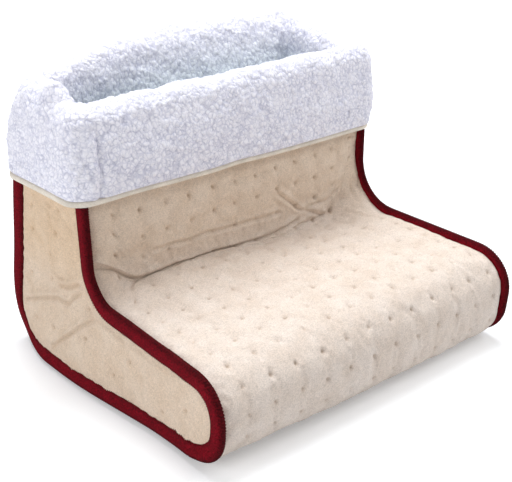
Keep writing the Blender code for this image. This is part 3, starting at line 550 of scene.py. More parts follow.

# %% [markdown]
# Curly pile is made of small woolly curls with gaps between them. The curls are real bumps in the mesh,
# made further on, and how far each point lies from a gap is kept there in an attribute named `curl`,
# which the finish reads to paint the gaps blue-grey: this is painted shade. Smaller curls come from bent
# Voronoi cells: the distance to a cell's edge draws a thin grey line round each, also painted shade, and
# rounds it off, and in patches the line is faint, where the fibres have matted. Twisted noise adds the
# strands. Deep inside the cuff the pile is painted a cooler grey, which is painted shade, and the
# attribute `inside` tells how deep a point lies.

# %% Curly pile finish


def curl_node(tree, scale):
    """The distance to the edge of a small curl, on places that noise has bent."""
    place = tree.nodes.new("ShaderNodeTexCoord")
    bend = tree.nodes.new("ShaderNodeTexNoise")
    bend.inputs["Scale"].default_value = scale * 0.7
    bend.inputs["Detail"].default_value = 1
    moved = tree.nodes.new("ShaderNodeVectorMath")
    moved.operation = "MULTIPLY_ADD"
    moved.inputs[1].default_value = (1.1 / scale,) * 3
    cells = tree.nodes.new("ShaderNodeTexVoronoi")
    cells.feature = "DISTANCE_TO_EDGE"
    cells.inputs["Scale"].default_value = scale
    tree.links.new(place.outputs["Object"], bend.inputs["Vector"])
    tree.links.new(bend.outputs["Color"], moved.inputs[0])
    tree.links.new(place.outputs["Object"], moved.inputs[2])
    tree.links.new(moved.outputs["Vector"], cells.inputs["Vector"])
    return cells.outputs["Distance"]


def pile_finish(name, tip, gap):
    made, tree, shader = new_finish(name, 1.0, gloss=0.15)
    small_curls = curl_node(tree, 270)
    matted = tree.nodes.new("ShaderNodeMath")
    matted.operation = "MULTIPLY_ADD"
    matted.inputs[1].default_value = 0.3
    tree.links.new(noise_node(tree, 80, 3), matted.inputs[0])
    tree.links.new(small_curls, matted.inputs[2])
    strands = noise_node(tree, 520, 3, 0.6, distortion=2.5)
    fine = noise_node(tree, 2200, 2, 0.6)
    colour = multiplied(
        tree,
        # painted shade: the gaps between curls are painted blue-grey
        ramp_node(tree, kept_value(tree, "curl"), [(0.0, gap), (0.45, tip), (1.0, tip)]),
        # painted shade: thin grey lines round the small curls
        ramp_node(tree, matted.outputs["Value"], [(0.10, (0.72, 0.73, 0.80)), (0.32, grey(1))]),
        ramp_node(tree, strands, [(0.34, (0.90, 0.90, 0.93)), (0.6, grey(1))]),
        # painted shade: a cooler grey deep inside the cuff
        ramp_node(tree, kept_value(tree, "inside"), [(0.0, grey(1)), (1.0, (0.76, 0.85, 0.83))]),
    )
    tree.links.new(colour, shader.inputs["Base Color"])
    rounded = ramp_node(tree, small_curls, [(0.0, grey(0)), (0.1, grey(0.5)), (0.4, grey(1))])
    add_bumps(tree, shader, [(rounded, 0.8 * MM, 0.45), (strands, 0.5 * MM, 0.5), (fine, 0.25 * MM, 0.5)])
    add_sheen(shader, 0.2, (0.95, 0.96, 1.0))
    return made


pile = pile_finish("curly_pile", screen(248, 247, 255), screen(222, 222, 236))
# The lining is the same pile painted cooler and darker: painted shade.
shaded_inner_pile = pile_finish("shaded_inner_curly_pile", screen(224, 232, 240), screen(200, 209, 219))
print("pile ready")

# %% [markdown]
# Tape, wadding and felt are all threads pressed or woven together. Ribs and edges are real in the mesh,
# so this finish only adds the threads' fine change of tone and a dull gloss. Where tape turns in towards
# the seam it is painted darker, which is painted shade at the tape's edges: the attribute `edge` tells how
# near a point is to that turn. The sleeves and the plastics use this finish too, with more gloss.

# %% Woven finishes


def woven_finish(name, pale, deep, scale, roughness, sheen, cloud=0.82, gloss=0.2, turned=None):
    made, tree, shader = new_finish(name, roughness, gloss=gloss)
    threads = noise_node(tree, scale, 3, 0.7)
    clouds = noise_node(tree, 90, 3)
    colours = [
        ramp_node(tree, threads, [(0.3, deep), (0.7, pale)]),
        ramp_node(tree, clouds, [(0.3, grey(cloud)), (0.7, grey(1))]),
    ]
    if turned is not None:
        # painted shade: the tape is darker towards its turned edges
        colours.append(ramp_node(tree, kept_value(tree, "edge"), [(0.35, grey(1)), (0.95, grey(turned))]))
    tree.links.new(multiplied(tree, *colours), shader.inputs["Base Color"])
    add_bumps(tree, shader, [(threads, 0.2 * MM, 0.6)])
    add_sheen(shader, sheen, pale)
    return made


# the last value paints the tape darker where it turns in: painted shade
tape = woven_finish("red_tape", screen(158, 12, 34), screen(46, 1, 6), 850, 0.85, 0.0, 0.75, 0.12, 0.4)
hem_cloth = woven_finish("cream_hem_tape", screen(244, 237, 226), screen(222, 212, 198), 1400, 0.9, 0.1)
wadding = woven_finish("wadding", screen(238, 235, 226), screen(214, 210, 200), 500, 1.0, 0.1)
felt = woven_finish("grey_felt", screen(206, 202, 196), screen(170, 166, 160), 700, 1.0, 0.1)
sole_cloth = woven_finish("sole_cloth", screen(178, 168, 154), screen(146, 136, 124), 1100, 0.9, 0.05)
wire_sleeve = woven_finish("red_silicone", screen(178, 62, 44), screen(150, 44, 32), 300, 0.45, 0.0, 0.9, 0.5)
lead_sleeve = woven_finish(
    "lead_sleeve", screen(226, 224, 218), screen(204, 200, 192), 300, 0.5, 0.0, 0.9, 0.5
)
case_plastic = woven_finish("brown_case", screen(86, 62, 46), screen(70, 48, 36), 900, 0.42, 0.0, 0.9, 0.5)
inlet_plastic = woven_finish("black_inlet", screen(46, 46, 48), screen(32, 32, 34), 1300, 0.48, 0.0, 0.9, 0.5)
print("woven finishes ready")

# %% [markdown]
# Metal parts are small. Rolled sheet has fine lines in one direction, so its noise is stretched. Soft
# stains change its tone and its gloss.

# %% Metal finishes


def metal_finish(name, pale, deep, roughness, stretch=(1, 12, 12)):
    made, tree, shader = new_finish(name, roughness, 1.0)
    lines = noise_node(tree, 700, 3, 0.6, stretch=stretch)
    stains = noise_node(tree, 160, 3)
    colour = multiplied(
        tree,
        ramp_node(tree, lines, [(0.3, deep), (0.7, pale)]),
        ramp_node(tree, stains, [(0.3, grey(0.85)), (0.7, grey(1))]),
    )
    tree.links.new(colour, shader.inputs["Base Color"])
    gloss = ramp_node(tree, stains, [(0.3, grey(roughness + 0.12)), (0.7, grey(roughness - 0.05))])
    tree.links.new(gloss, shader.inputs["Roughness"])
    add_bumps(tree, shader, [(lines, 0.02 * MM, 0.4)])
    return made


brass = metal_finish("brass", screen(214, 178, 104), screen(186, 148, 78), 0.32)
contact_silver = metal_finish("contact_silver", screen(224, 222, 216), screen(196, 194, 188), 0.26)
bimetal = metal_finish("bimetal", screen(196, 186, 170), screen(166, 156, 140), 0.34)
steel = metal_finish("steel", screen(198, 200, 202), screen(168, 170, 172), 0.36)
print("metals ready")


# %% [markdown]
# ## The camera, the floor and the light
#
# The camera stands at the front left, a little above the rim. A plain white floor catches a soft shadow.
# Seen by the camera it glows a little, so that it stays white, and this glow lights nothing.

# %% Camera
camera_data = bpy.data.cameras.new("camera")
camera = bpy.data.objects.new("camera", camera_data)
bpy.context.scene.collection.objects.link(camera)
camera_turn, camera_tilt = math.radians(-41.265), math.radians(23.055)
camera.location = (-0.42747, -0.48796, 0.36235)
back = (math.sin(camera_turn) * math.cos(camera_tilt), -math.cos(camera_turn) * math.cos(camera_tilt))
camera.rotation_mode = "QUATERNION"
camera.rotation_quaternion = (-Vector((*back, math.sin(camera_tilt)))).to_track_quat("-Z", "Y")
camera_data.lens = 60.384
camera_data.sensor_width = 36
bpy.context.scene.camera = camera
print("camera at", [round(v, 3) for v in camera.location])

# %% Floor


def floor_finish(near_glow):
    """White with a glow that only the camera sees, weak near the foot warmer and full far from it."""
    made, tree, shader = new_finish("floor", 1.0)
    shader.inputs["Base Color"].default_value = (0.88, 0.9, 0.93, 1)
    place = tree.nodes.new("ShaderNodeTexCoord")
    length = tree.nodes.new("ShaderNodeVectorMath")
    length.operation = "LENGTH"
    glow = tree.nodes.new("ShaderNodeMapRange")
    for name, value in (("From Min", 0.35), ("From Max", 1.2), ("To Min", near_glow), ("To Max", 1.0)):
        glow.inputs[name].default_value = value
    path = tree.nodes.new("ShaderNodeLightPath")
    seen = tree.nodes.new("ShaderNodeMath")
    seen.operation = "MULTIPLY"
    light = tree.nodes.new("ShaderNodeEmission")
    both = tree.nodes.new("ShaderNodeAddShader")
    tree.links.new(place.outputs["Object"], length.inputs[0])
    tree.links.new(length.outputs["Value"], glow.inputs["Value"])
    tree.links.new(glow.outputs["Result"], seen.inputs[0])
    tree.links.new(path.outputs["Is Camera Ray"], seen.inputs[1])
    tree.links.new(seen.outputs["Value"], light.inputs["Strength"])
    tree.links.new(shader.outputs["BSDF"], both.inputs[0])
    tree.links.new(light.outputs["Emission"], both.inputs[1])
    tree.links.new(both.outputs["Shader"], tree.nodes["Material Output"].inputs["Surface"])
    return made


reach = 6.0
corners = [(-reach, -reach, 0), (reach, -reach, 0), (reach, reach, 0), (-reach, reach, 0)]
floor = new_piece("floor", corners, [(0, 1, 2, 3)], floor_finish(0.24))
print("floor", reach * 2, "m wide")

# %% Lamps and sky


def lamp(name, place, size, power, tint=(1, 1, 1)):
    """A round soft lamp that points at the foot warmer."""
    data = bpy.data.lights.new(name, "AREA")
    data.shape = "DISK"
    data.size = size
    data.energy = power
    data.color = tint
    made = bpy.data.objects.new(name, data)
    bpy.context.scene.collection.objects.link(made)
    made.location = place
    made.rotation_mode = "QUATERNION"
    made.rotation_quaternion = (Vector((0, 0, 0.1)) - Vector(place)).to_track_quat("-Z", "Y")


lamp("top", (0.15, 0.32, 1.5), 1.1, 21.8, (0.95, 0.98, 1.0))
lamp("left", (-1.6, 0.0, 0.8), 1.0, 9.4)
lamp("right", (1.1, -0.7, 1.1), 0.9, 8.4)
world = bpy.data.worlds.new("studio")
bpy.context.scene.world = world
world.use_nodes = True
links = world.node_tree.links
sky = world.node_tree.nodes["Background"]
path = world.node_tree.nodes.new("ShaderNodeLightPath")
sky_stops = [(0, (1, 0.98, 0.95)), (1, grey(1))]
sky_colour = ramp_node(world.node_tree, path.outputs["Is Camera Ray"], sky_stops)
links.new(sky_colour, sky.inputs["Color"])
strength = world.node_tree.nodes.new("ShaderNodeMapRange")
strength.inputs["To Min"].default_value = 0.4
strength.inputs["To Max"].default_value = 1.0
links.new(path.outputs["Is Camera Ray"], strength.inputs["Value"])
links.new(strength.outputs["Result"], sky.inputs["Strength"])
bpy.context.scene.view_settings.view_transform = "Standard"


# %% [markdown]
# ## Letting cloth swell
#
# Quilted plush isn't smooth between its dots: the wadding pushes it out, and the spare cloth folds from dot
# to dot. Blender's cloth finds such folds by itself. A sheet is held at its edges, dots and creases, grows
# by one or two hundredths, and is blown up from behind for 20 frames. Its movement is capped, applied to the
# points, and the sheet is deleted.

# %% Cloth simulation


def blown(points, faces, held, growth=0.015, most=2.4 * MM):
    """How far each point of a sheet moves when it is blown up between its held points."""
    sheet = new_piece("swelling_sheet", points, faces, plush)
    sheet.vertex_groups.new(name="held").add(np.nonzero(held)[0].tolist(), 1.0, "REPLACE")
    cloth = sheet.modifiers.new("cloth", "CLOTH")
    cloth.collision_settings.use_collision = False
    rules = cloth.settings
    rules.vertex_group_mass = "held"
    rules.quality = 6
    rules.shrink_min = -growth
    rules.bending_stiffness = 0.8
    rules.use_pressure = True
    rules.uniform_pressure_force = 4
    rules.effector_weights.gravity = 0
    for frame_number in range(1, 21):
        bpy.context.scene.frame_set(frame_number)
    result = sheet.evaluated_get(bpy.context.evaluated_depsgraph_get()).to_mesh()
    places = np.empty(len(points) * 3)
    result.vertices.foreach_get("co", places)
    bpy.data.objects.remove(sheet)
    bpy.context.scene.frame_set(1)
    moves = places.reshape(-1, 3) - points
    size = np.linalg.norm(moves, axis=1, keepdims=True)
    print("cloth moved by up to", round(float(size.max()) / MM, 1), "mm")
    return moves * np.minimum(1, most * np.tanh(size / most) / np.maximum(size, 1e-9))


def finer(values, count, axis):
    """Values along one axis, set out again with a smooth curve through them."""
    values = np.moveaxis(values, axis, 0)
    places = np.linspace(0, len(values) - 1, count)
    k = np.minimum(places.astype(int), len(values) - 2)
    t = (places - k)[:, None, None]
    a, b, c, d = (values[np.clip(k + i, 0, len(values) - 1)] for i in (-1, 0, 1, 2))
    curve = b + 0.5 * t * (c - a + t * (2 * a - 5 * b + 4 * c - d + t * (3 * (b - c) + d - a)))
    return np.moveaxis(curve, 0, axis)


def resized(grid, rows, columns):
    return finer(finer(grid, rows, 0), columns, 1)


def blown_grid(grid, held, share=3):
    """The movement of a fine grid of cloth, found on a coarser copy of it."""
    rows, columns = grid.shape[:2]
    few_rows, few_columns = round(rows / share), round(columns / share)
    coarse = resized(grid, few_rows, few_columns).reshape(-1, 3)
    kept = resized(held[..., None], few_rows, few_columns).ravel() > 0.5
    moves = blown(coarse, grid_faces(few_rows, few_columns), kept)
    return resized(moves.reshape(few_rows, few_columns, 3), rows, columns)




# %% [markdown]
# ## Quilting
#
# The cover is welded to its wadding in a grid of small dots. Each dot is a narrow pit in a wider hollow,
# and the plush swells a little between four dots. Heights are worked out from the distance across the
# cloth and the distance along it. A second value says how much of a point is welded, and the finish
# reads it and makes the plush darker and browner there, at the bottom of each pit.

# %% Heights of quilted cloth
dot_across, dot_along = 23.3 * MM, 19.3 * MM
first_dot_x, first_dot_s = -7 * MM, 15 * MM
dot_hold, pit_depth = 2.2 * MM, 3.0 * MM


def pit(away, depth):
    """The height at a distance from a welded dot: a narrow pit in a wider hollow."""
    return -depth * (0.7 * np.exp(-((away / (1.7 * MM)) ** 2)) + 0.3 * np.exp(-((away / (4.5 * MM)) ** 2)))


def welded(away):
    return np.exp(-((away / (1.5 * MM)) ** 2))


def uneven(column, row, seed):
    """A fixed value from 0 to 1 for each dot of a grid, which looks random."""
    value = np.sin(column * 12.9898 + row * 78.233 + seed * 37.719) * 43758.5453
    return value - np.floor(value)


def from_dot(x, s):
    """The distance from the nearest dot, how far a point is between dots, and how hard the dot is pressed."""
    across = (x - first_dot_x) / dot_across
    along = (s - first_dot_s) / dot_along
    column, row = np.round(across), np.round(along)
    off_x = (across - column) * dot_across + 2 * MM * (uneven(column, row, 1) - 0.5)
    off_s = (along - row) * dot_along + 2 * MM * (uneven(column, row, 2) - 0.5)
    swell = (np.sin(np.pi * across) * np.sin(np.pi * along)) ** 2
    return np.hypot(off_x, off_s), swell, 0.6 + 0.4 * uneven(column, row, 3)


def from_line(points, corners):
    """The distance of points from a line through corners, both in two directions."""
    corners = np.array(corners)
    nearest = np.full(points.shape[:-1], 1.0)
    for a, b in zip(corners, corners[1:]):
        t = np.clip(((points - a) @ (b - a)) / ((b - a) @ (b - a)), 0, 1)[..., None]
        nearest = np.minimum(nearest, np.linalg.norm(points - a - t * (b - a), axis=-1))
    return nearest


def crease(away, depth, width):
    """A sharp groove with a soft ridge on either side."""
    return -depth * np.exp(-away / width) + 0.5 * depth * np.exp(-(((away - 3 * width) / (2 * width)) ** 2))


def keep_value(piece, name, values):
    """Stores a value for each of a piece's first points, and 0 for the rest."""
    stored = np.zeros(len(piece.data.vertices), dtype=np.float32)
    stored[: len(values)] = values
    piece.data.attributes.new(name, "FLOAT", "POINT").data.foreach_set("value", stored)


print("a pit is", round(float(-pit(0, pit_depth)) / MM, 2), "mm deep")

# %% [markdown]
# ## The upper cover
#
# One strip of plush runs from under the cuff, down the shaft, over the instep and the toe, to the sole.
# It is a grid of points with a crown across it. The cloth's swell between the dots is added to the pits
# and creases, and the welded dots are held meanwhile, so that each stays in its place.

# %% Upper cover
fine = 1.0 * MM
upper_creases = [
    ((-142, 71), (-120, 69), (-101, 68), (-53, 72), (-5, 72.5), (21, 72), (47, 71), (65, 67)),
    ((66, 72), (97, 72), (119, 74), (142, 75)),
    ((-90, 49), (-51, 52), (19, 54), (44, 54)),
    ((75, 58), (91, 59), (117, 66), (136, 70)),
    ((41, 37), (53, 47), (65, 56), (97, 72)),
]


def upper_shape(grid, shares):
    """The heights of the upper cover, and how much each point is welded."""
    lengths = lengths_along(grid[:, grid.shape[1] // 2])
    hem_row = int(np.argmin(np.abs(grid[:, 0, 2] - hem_z)))
    s = (lengths - lengths[hem_row])[:, None] * np.ones((1, len(shares)))
    x = (shares * half_cover)[None, :] * np.ones((len(lengths), 1))
    to_sole = smooth_step(lengths[-1] - lengths, 0, 45 * MM)[:, None]
    shown = smooth_step(s, -2 * MM, 25 * MM)
    edge = half_cover - np.abs(x)
    crown = 2.0 * MM * (1 - np.exp(-edge / (5 * MM))) + 2.0 * MM * (1 - shares[None, :] ** 2)
    heights = (crown + lumps(grid, 60 * MM, 1) * 1.0 * MM) * shown * to_sole
    away, swell, pressed = from_dot(x, s)
    dots = smooth_step(s, -2 * MM, 4 * MM) * to_sole * smooth_step(edge, 2 * MM, 5 * MM)
    heights += (pit(away, pit_depth) * pressed + 0.5 * MM * swell) * dots
    held = np.maximum(away < dot_hold, (shown < 0.3) | (to_sole < 0.3) | (edge < 3 * MM)).astype(float)
    places = np.stack([x, s + 1.5 * MM * lumps(grid, 20 * MM, 2)], axis=2)
    for corners, depth in zip(upper_creases, (2.6 * MM, 2.2 * MM, 1.6 * MM, 1.6 * MM, 2.0 * MM)):
        from_crease = from_line(places, np.array(corners) * MM)
        heights += crease(from_crease, depth, 1.1 * MM)
        held = np.maximum(held, from_crease < 2 * MM)
    heights += 0.7 * MM * np.exp(-edge / (4 * MM)) * lumps(grid, 7 * MM, 3)
    return heights, welded(away) * dots * pressed, held


def sewn_strip(depth, start, end, half, shape=None):
    """A grid between the sides, lifted along its normals, and how much each point is welded."""
    columns = round(2 * half / fine) + 1
    grid = strip(depth, start, end, fine, half, columns)
    if shape is None:
        return grid
    heights, weld, held = shape(grid, np.linspace(-1, 1, columns))
    points = grid + grid_normals(grid) * heights[..., None] + blown_grid(grid, held)
    points[..., 2] = np.maximum(points[..., 2], 0.5 * MM)
    return points, weld


outer, weld = sewn_strip(0, FRONT_TOP, SOLE_FRONT, half_cover, upper_shape)
inner = sewn_strip(cover, FRONT_TOP, SOLE_FRONT, half_cover)
upper_cover = two_skins("upper_plush", outer, inner, grid_faces(*outer.shape[:2]), plush)
keep_value(upper_cover, "weld", weld.ravel())
fitted(upper_cover, "root", "plush", "upper_cover")


# %% [markdown]
# ## The back cover
#
# The back is the same quilted plush. The inlet's housing goes through it, so the grid has a hole there,
# just smaller than the flange that covers it, and the cloth is pressed flat round the flange.

# %% Back cover
inlet_low, inlet_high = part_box("inlet_housing")
inlet_x = (inlet_low.x + inlet_high.x) / 2
inlet_z = (inlet_low.z + inlet_high.z) / 2


def from_inlet(grid, half_x, half_z):
    """How far each point lies outside a box round the inlet; it is negative inside."""
    return np.maximum(np.abs(grid[..., 0] - inlet_x) - half_x, np.abs(grid[..., 2] - inlet_z) - half_z)


def face_middles(values):
    return (values[:-1, :-1] + values[1:, :-1] + values[1:, 1:] + values[:-1, 1:]) / 4


def back_shape(grid, shares):
    """The heights of the back cover, and how much each point is welded."""
    lengths = lengths_along(grid[:, grid.shape[1] // 2])
    hem_row = int(np.argmin(np.abs(grid[:, 0, 2] - hem_z)))
    s = (lengths[hem_row] - lengths)[:, None] * np.ones((1, len(shares)))
    x = (shares * half_cover)[None, :] * np.ones((len(lengths), 1))
    from_sole = smooth_step(lengths, 0, 40 * MM)[:, None]
    shown = smooth_step(s, -2 * MM, 25 * MM)
    edge = half_cover - np.abs(x)
    crown = 2.0 * MM * (1 - np.exp(-edge / (5 * MM))) + 1.5 * MM * (1 - shares[None, :] ** 2)
    flat = smooth_step(from_inlet(grid, 20 * MM, 10 * MM), 0, 12 * MM)
    away, swell, pressed = from_dot(x, s)
    dots = smooth_step(s, -2 * MM, 4 * MM) * from_sole * smooth_step(edge, 2 * MM, 5 * MM) * (flat > 0.9)
    heights = (crown + lumps(grid, 60 * MM, 5) * 1.0 * MM) * shown * from_sole
    heights += 0.7 * MM * np.exp(-edge / (4 * MM)) * lumps(grid, 7 * MM, 6)
    heights = (heights + 0.5 * MM * swell * shown * from_sole) * flat + pit(away, pit_depth) * dots * pressed
    held = (away < dot_hold) | (shown < 0.3) | (from_sole < 0.3) | (edge < 3 * MM) | (flat < 0.9)
    return heights, welded(away) * dots * pressed, held.astype(float)


outer, weld = sewn_strip(0, SOLE_BACK, BACK_TOP, half_cover, back_shape)
inner = sewn_strip(cover, SOLE_BACK, BACK_TOP, half_cover)
around_housing = face_middles(from_inlet(outer, 13.2 * MM, 8 * MM)) > 0
around_rivets = face_middles(from_inlet(outer, 18 * MM, 2.4 * MM)) > 0
back_faces = grid_faces(*outer.shape[:2], keep=around_housing & around_rivets)
back_cover = two_skins("back_plush", outer, inner, back_faces, plush)
keep_value(back_cover, "weld", weld.ravel()[np.unique(back_faces)])
fitted(back_cover, "root", "plush", "back_cover")

# %% [markdown]
# ## The side panels
#
# Each side panel is cut to the boot's outline and sewn into the tape all round. A flat outline is filled
# with small triangles, and then each point moves out by its distance from the seam, so that the panel is
# crowned and its edge is puckered. Fifteen welded dots and three creases come on top.

# %% Filling an outline with triangles


def inside(points, outline):
    """Which points lie inside a closed outline."""
    y, z = points[:, 0:1], points[:, 1:2]
    y0, z0 = outline[:, 0], outline[:, 1]
    y1, z1 = np.roll(y0, -1), np.roll(z0, -1)
    crosses = (z0 > z) != (z1 > z)
    rise = np.where(z1 == z0, 1, z1 - z0)
    return (crosses & (y < (y1 - y0) * (z - z0) / rise + y0)).sum(axis=1) % 2 == 1


def from_edge(points, outline):
    """The distance of each point from a closed outline."""
    start, way = outline, np.roll(outline, -1, axis=0) - outline
    length = np.maximum((way**2).sum(axis=1), 1e-12)
    nearest = np.full(len(points), 1.0)
    for a, w, sq in zip(start, way, length):
        t = np.clip(((points - a) @ w) / sq, 0, 1)[:, None]
        nearest = np.minimum(nearest, np.linalg.norm(points - a - t * w, axis=1))
    return nearest


def filled(outline, step):
    """Points and triangles that fill a closed outline, with the distance of each point from its edge."""
    low, high = outline.min(axis=0), outline.max(axis=0)
    rows = np.arange(low[1], high[1], step * 0.87)
    across = np.arange(low[0], high[0], step)
    spots = np.array([(y + (r % 2) * step / 2, z) for r, z in enumerate(rows) for y in across])
    spots = spots[inside(spots, outline)]
    spots = spots[from_edge(spots, outline) > step * 0.6]
    points = np.vstack([outline, spots])
    edges = [(i, (i + 1) % len(outline)) for i in range(len(outline))]
    made = delaunay_2d_cdt([Vector(p) for p in points.tolist()], edges, [], 1, 1e-7)
    flat = np.array([tuple(p) for p in made[0]])
    return flat, made[2], from_edge(flat, outline)


square = np.array([(0, 0), (1, 0), (1, 1), (0, 1.0)])
print("a square of 1 m takes", len(filled(square, 0.25)[0]), "points")

# %% Side panels
side_dots = [
    *((227, 131), (185, 137), (191, 118), (229, 110), (203, 97), (239, 69), (204, 76), (229, 34)),
    *((198, 37), (152, 69), (154, 45), (118, 30), (98, 49), (63, 25), (36, 40)),
]
side_creases = [
    ((256, 39), (240, 46), (221, 54), (193, 64), (177, 65), (168, 74), (156, 82)),
    ((188, 76), (176, 79), (160, 87)),
    ((196, 22), (184, 33), (171, 43), (155, 57), (141, 66), (127, 73)),
]
row_zero = -137.2


def closed_outline(side, depth, step, bottom, start, end):
    """A side's outline between two corners, closed over its top."""
    line = between(side, depth, start, end, step, bottom)
    count = round((line[-1, 0] - line[0, 0]) / step)
    return np.vstack([line, steps_between(line[-1], line[0], count)])


def at_x(x, flat):
    """Points of (y, z) set upright at a place across."""
    return np.column_stack([np.full(len(flat), x), flat])


def facing(faces, forwards):
    """Faces that are turned over unless they already look the right way."""
    return [tuple(f) if forwards else tuple(reversed(f)) for f in faces]


def side_panel(name, side, node):
    outline = closed_outline(side, 5.8 * MM, 1.5 * MM, 7 * MM, FRONT_TOP, BACK_TOP)
    flat, faces, edge = filled(outline, 1.4 * MM)
    solid = at_x(half_width, flat)
    height = 2.2 * MM * (1 - np.exp(-edge / (9 * MM))) - 0.8 * MM
    height += 1.2 * MM * lumps(solid * side, 50 * MM, 8) * smooth_step(edge, 0, 12 * MM)
    height += 0.6 * MM * np.exp(-edge / (5 * MM)) * lumps(solid * side, 6 * MM, 11)
    weld = np.zeros(len(flat))
    held = (edge < 3 * MM) | (flat[:, 1] > hem_z - 10 * MM)
    for y, z in side_dots:
        away = np.hypot(flat[:, 0] - (y + row_zero) * MM, flat[:, 1] - z * MM)
        clear = smooth_step(edge, 3 * MM, 8 * MM)
        height += pit(away, 2.8 * MM) * clear
        weld += 0.9 * welded(away) * clear
        held |= away < dot_hold
    for corners in side_creases:
        away = from_line(flat, (np.array(corners) + (row_zero, 0)) * MM)
        height += crease(away, 3.0 * MM, 1.1 * MM) * smooth_step(edge, 2 * MM, 12 * MM)
        held |= away < 2 * MM
    height *= smooth_step(hem_z - flat[:, 1], -5 * MM, 6 * MM)
    face = leaned(at_x(side * half_width, flat))
    back = leaned(at_x(side * (half_width - cover), flat))
    turned = facing(faces, side > 0)
    face += blown(face, turned, held, growth=0.02)
    face[:, 0] += side * height
    piece = two_skins(name, face, back, turned, side_plush)
    keep_value(piece, "weld", weld)
    fitted(piece, "root", "side_plush", node)


side_panel("left_panel_plush", -1, "left_cover")
side_panel("right_panel_plush", 1, "right_cover")


# %% [markdown]
# ## The binding tape
#
# A dark red tape is folded over each seam, so it stands out from the panel like a thin fin. It is a twill,
# with fine slanting ribs, and it waves a little where the sewing pulled it. A cross-section is swept along
# the boot's outline, and each point moves out by the height of the ribs.

# %% Binding tape
tape_width, tape_thick, rib_pitch = 12.4 * MM, 6.6 * MM, 1.9 * MM


def tape_section(count):
    """A rounded bar across, as (out of the panel, in towards the panel), with each point's place round it."""
    a, b, power = tape_thick / 2, tape_width / 2, 2.3
    angles = np.arange(count) * 2 * math.pi / count
    u = a * np.sign(np.cos(angles)) * np.abs(np.cos(angles)) ** (2 / power)
    v = b * np.sign(np.sin(angles)) * np.abs(np.sin(angles)) ** (2 / power)
    return u, v


def resampled(line, count):
    """A line of (y, z) with evenly spread points, and how far along it each of them is."""
    lengths = lengths_along(line)
    places = np.linspace(0, lengths[-1], count)
    return np.stack([np.interp(places, lengths, line[:, k]) for k in (0, 1)], axis=1), places


def binding(name, side, node):
    line = between(side, 0, FRONT_HEM, WAIST, 1.5 * MM, 7 * MM)
    line = line[line[:, 1] < hem_z - 0.2 * MM]
    middle, s = resampled(line, round(lengths_along(line)[-1] / (0.55 * MM)) + 1)
    ways = np.gradient(middle, axis=0)
    ways /= np.linalg.norm(ways, axis=1)[:, None]
    inward = np.stack([-ways[:, 1], ways[:, 0]], axis=1)
    u, v = tape_section(34)
    size = np.hypot(u, v)
    ribs = 0.42 * MM * np.sin(2 * math.pi * (s[:, None] + np.sign(u) * v * 0.6) / rib_pitch)
    wave = 0.5 * MM * lumps(np.column_stack([s, s * 0, s * 0]), 40 * MM, 3 + side)
    grow = 1 + ribs / size
    out = u * grow + half_width - 2.6 * MM + wave[:, None]
    y, z = middle[:, :1], middle[:, 1:]
    at_back = smooth_step(y, shaft_back - 20 * MM, shaft_back) * smooth_step(z, 25 * MM, 60 * MM)
    below = 1 - smooth_step(z, 12 * MM, 30 * MM)
    inn = v * (grow + 0.3 * at_back + 0.2 * below)
    inn = inn - 3.2 * MM * at_back + 1.7 * MM * below + wave[:, None] * 0.6
    points = np.empty((*out.shape, 3))
    points[..., 0] = side * out
    points[..., 1] = middle[:, None, 0] + inward[:, None, 0] * inn
    points[..., 2] = middle[:, None, 1] + inward[:, None, 1] * inn
    points = splayed(points)
    points[..., 2] = np.maximum(points[..., 2], 0.3 * MM)
    if side < 0:
        points = points[:, ::-1]
    piece = loft(name, points, tape)
    # `edge` carries the painted shade at the tape's turned edges
    keep_value(piece, "edge", np.tile(np.abs(v[::side]) / v.max(), len(middle)))
    fitted(piece, "root", "tape", node)


binding("left_tape", -1, "left_binding")
binding("right_tape", 1, "right_binding")


# %% [markdown]
# ## The turned-down cuff
#
# The lining's pile is folded out over the rim and hangs down as a thick cuff. It is made here as one ring
# of points: across, it is the fold from the hem up over the rim and down inside, and round, it is the
# shaft's plan with rounded corners. Then it is cut at the four corners. Only the seam at the front left
# shows in the photograph, and the other three are assumed.

# %% The cuff's plan and fold
corner_radii = (15 * MM, 19 * MM, 24 * MM, 19 * MM)
shift_right = settled[1]["shaft"] * MM


def plan(out, step, arc_count=22):
    """Points round the shaft, `out` outside its wall: front left corner, front, right, back and left."""
    x, front, back = half_width + out, shaft_front - out, shaft_back + out
    centres = [(-1, front, 180), (1, front, 270), (1, back, 0), (-1, back, 90)]
    arcs = []
    for (side, y, start), outside in zip(centres, corner_radii):
        r = max(outside - (cuff_out - out), 9 * MM)
        middle = (side * (x - r), y + (r if start >= 180 else -r))
        angles = np.radians(start + 90 * np.arange(arc_count + 1) / arc_count)
        arcs.append(np.column_stack([middle[0] + r * np.cos(angles), middle[1] + r * np.sin(angles)]))
    points, cuts = [], []
    for k, arc in enumerate(arcs):
        cuts.append(len(points) + arc_count // 2)
        points += list(arc)
        start, end = arc[-1], arcs[(k + 1) % 4][0]
        count = round((2 * half_width if k % 2 == 0 else shaft_back - shaft_front) / step)
        points += steps_between(start, end, count)
    return np.array(points), cuts


fold_power = 0.78


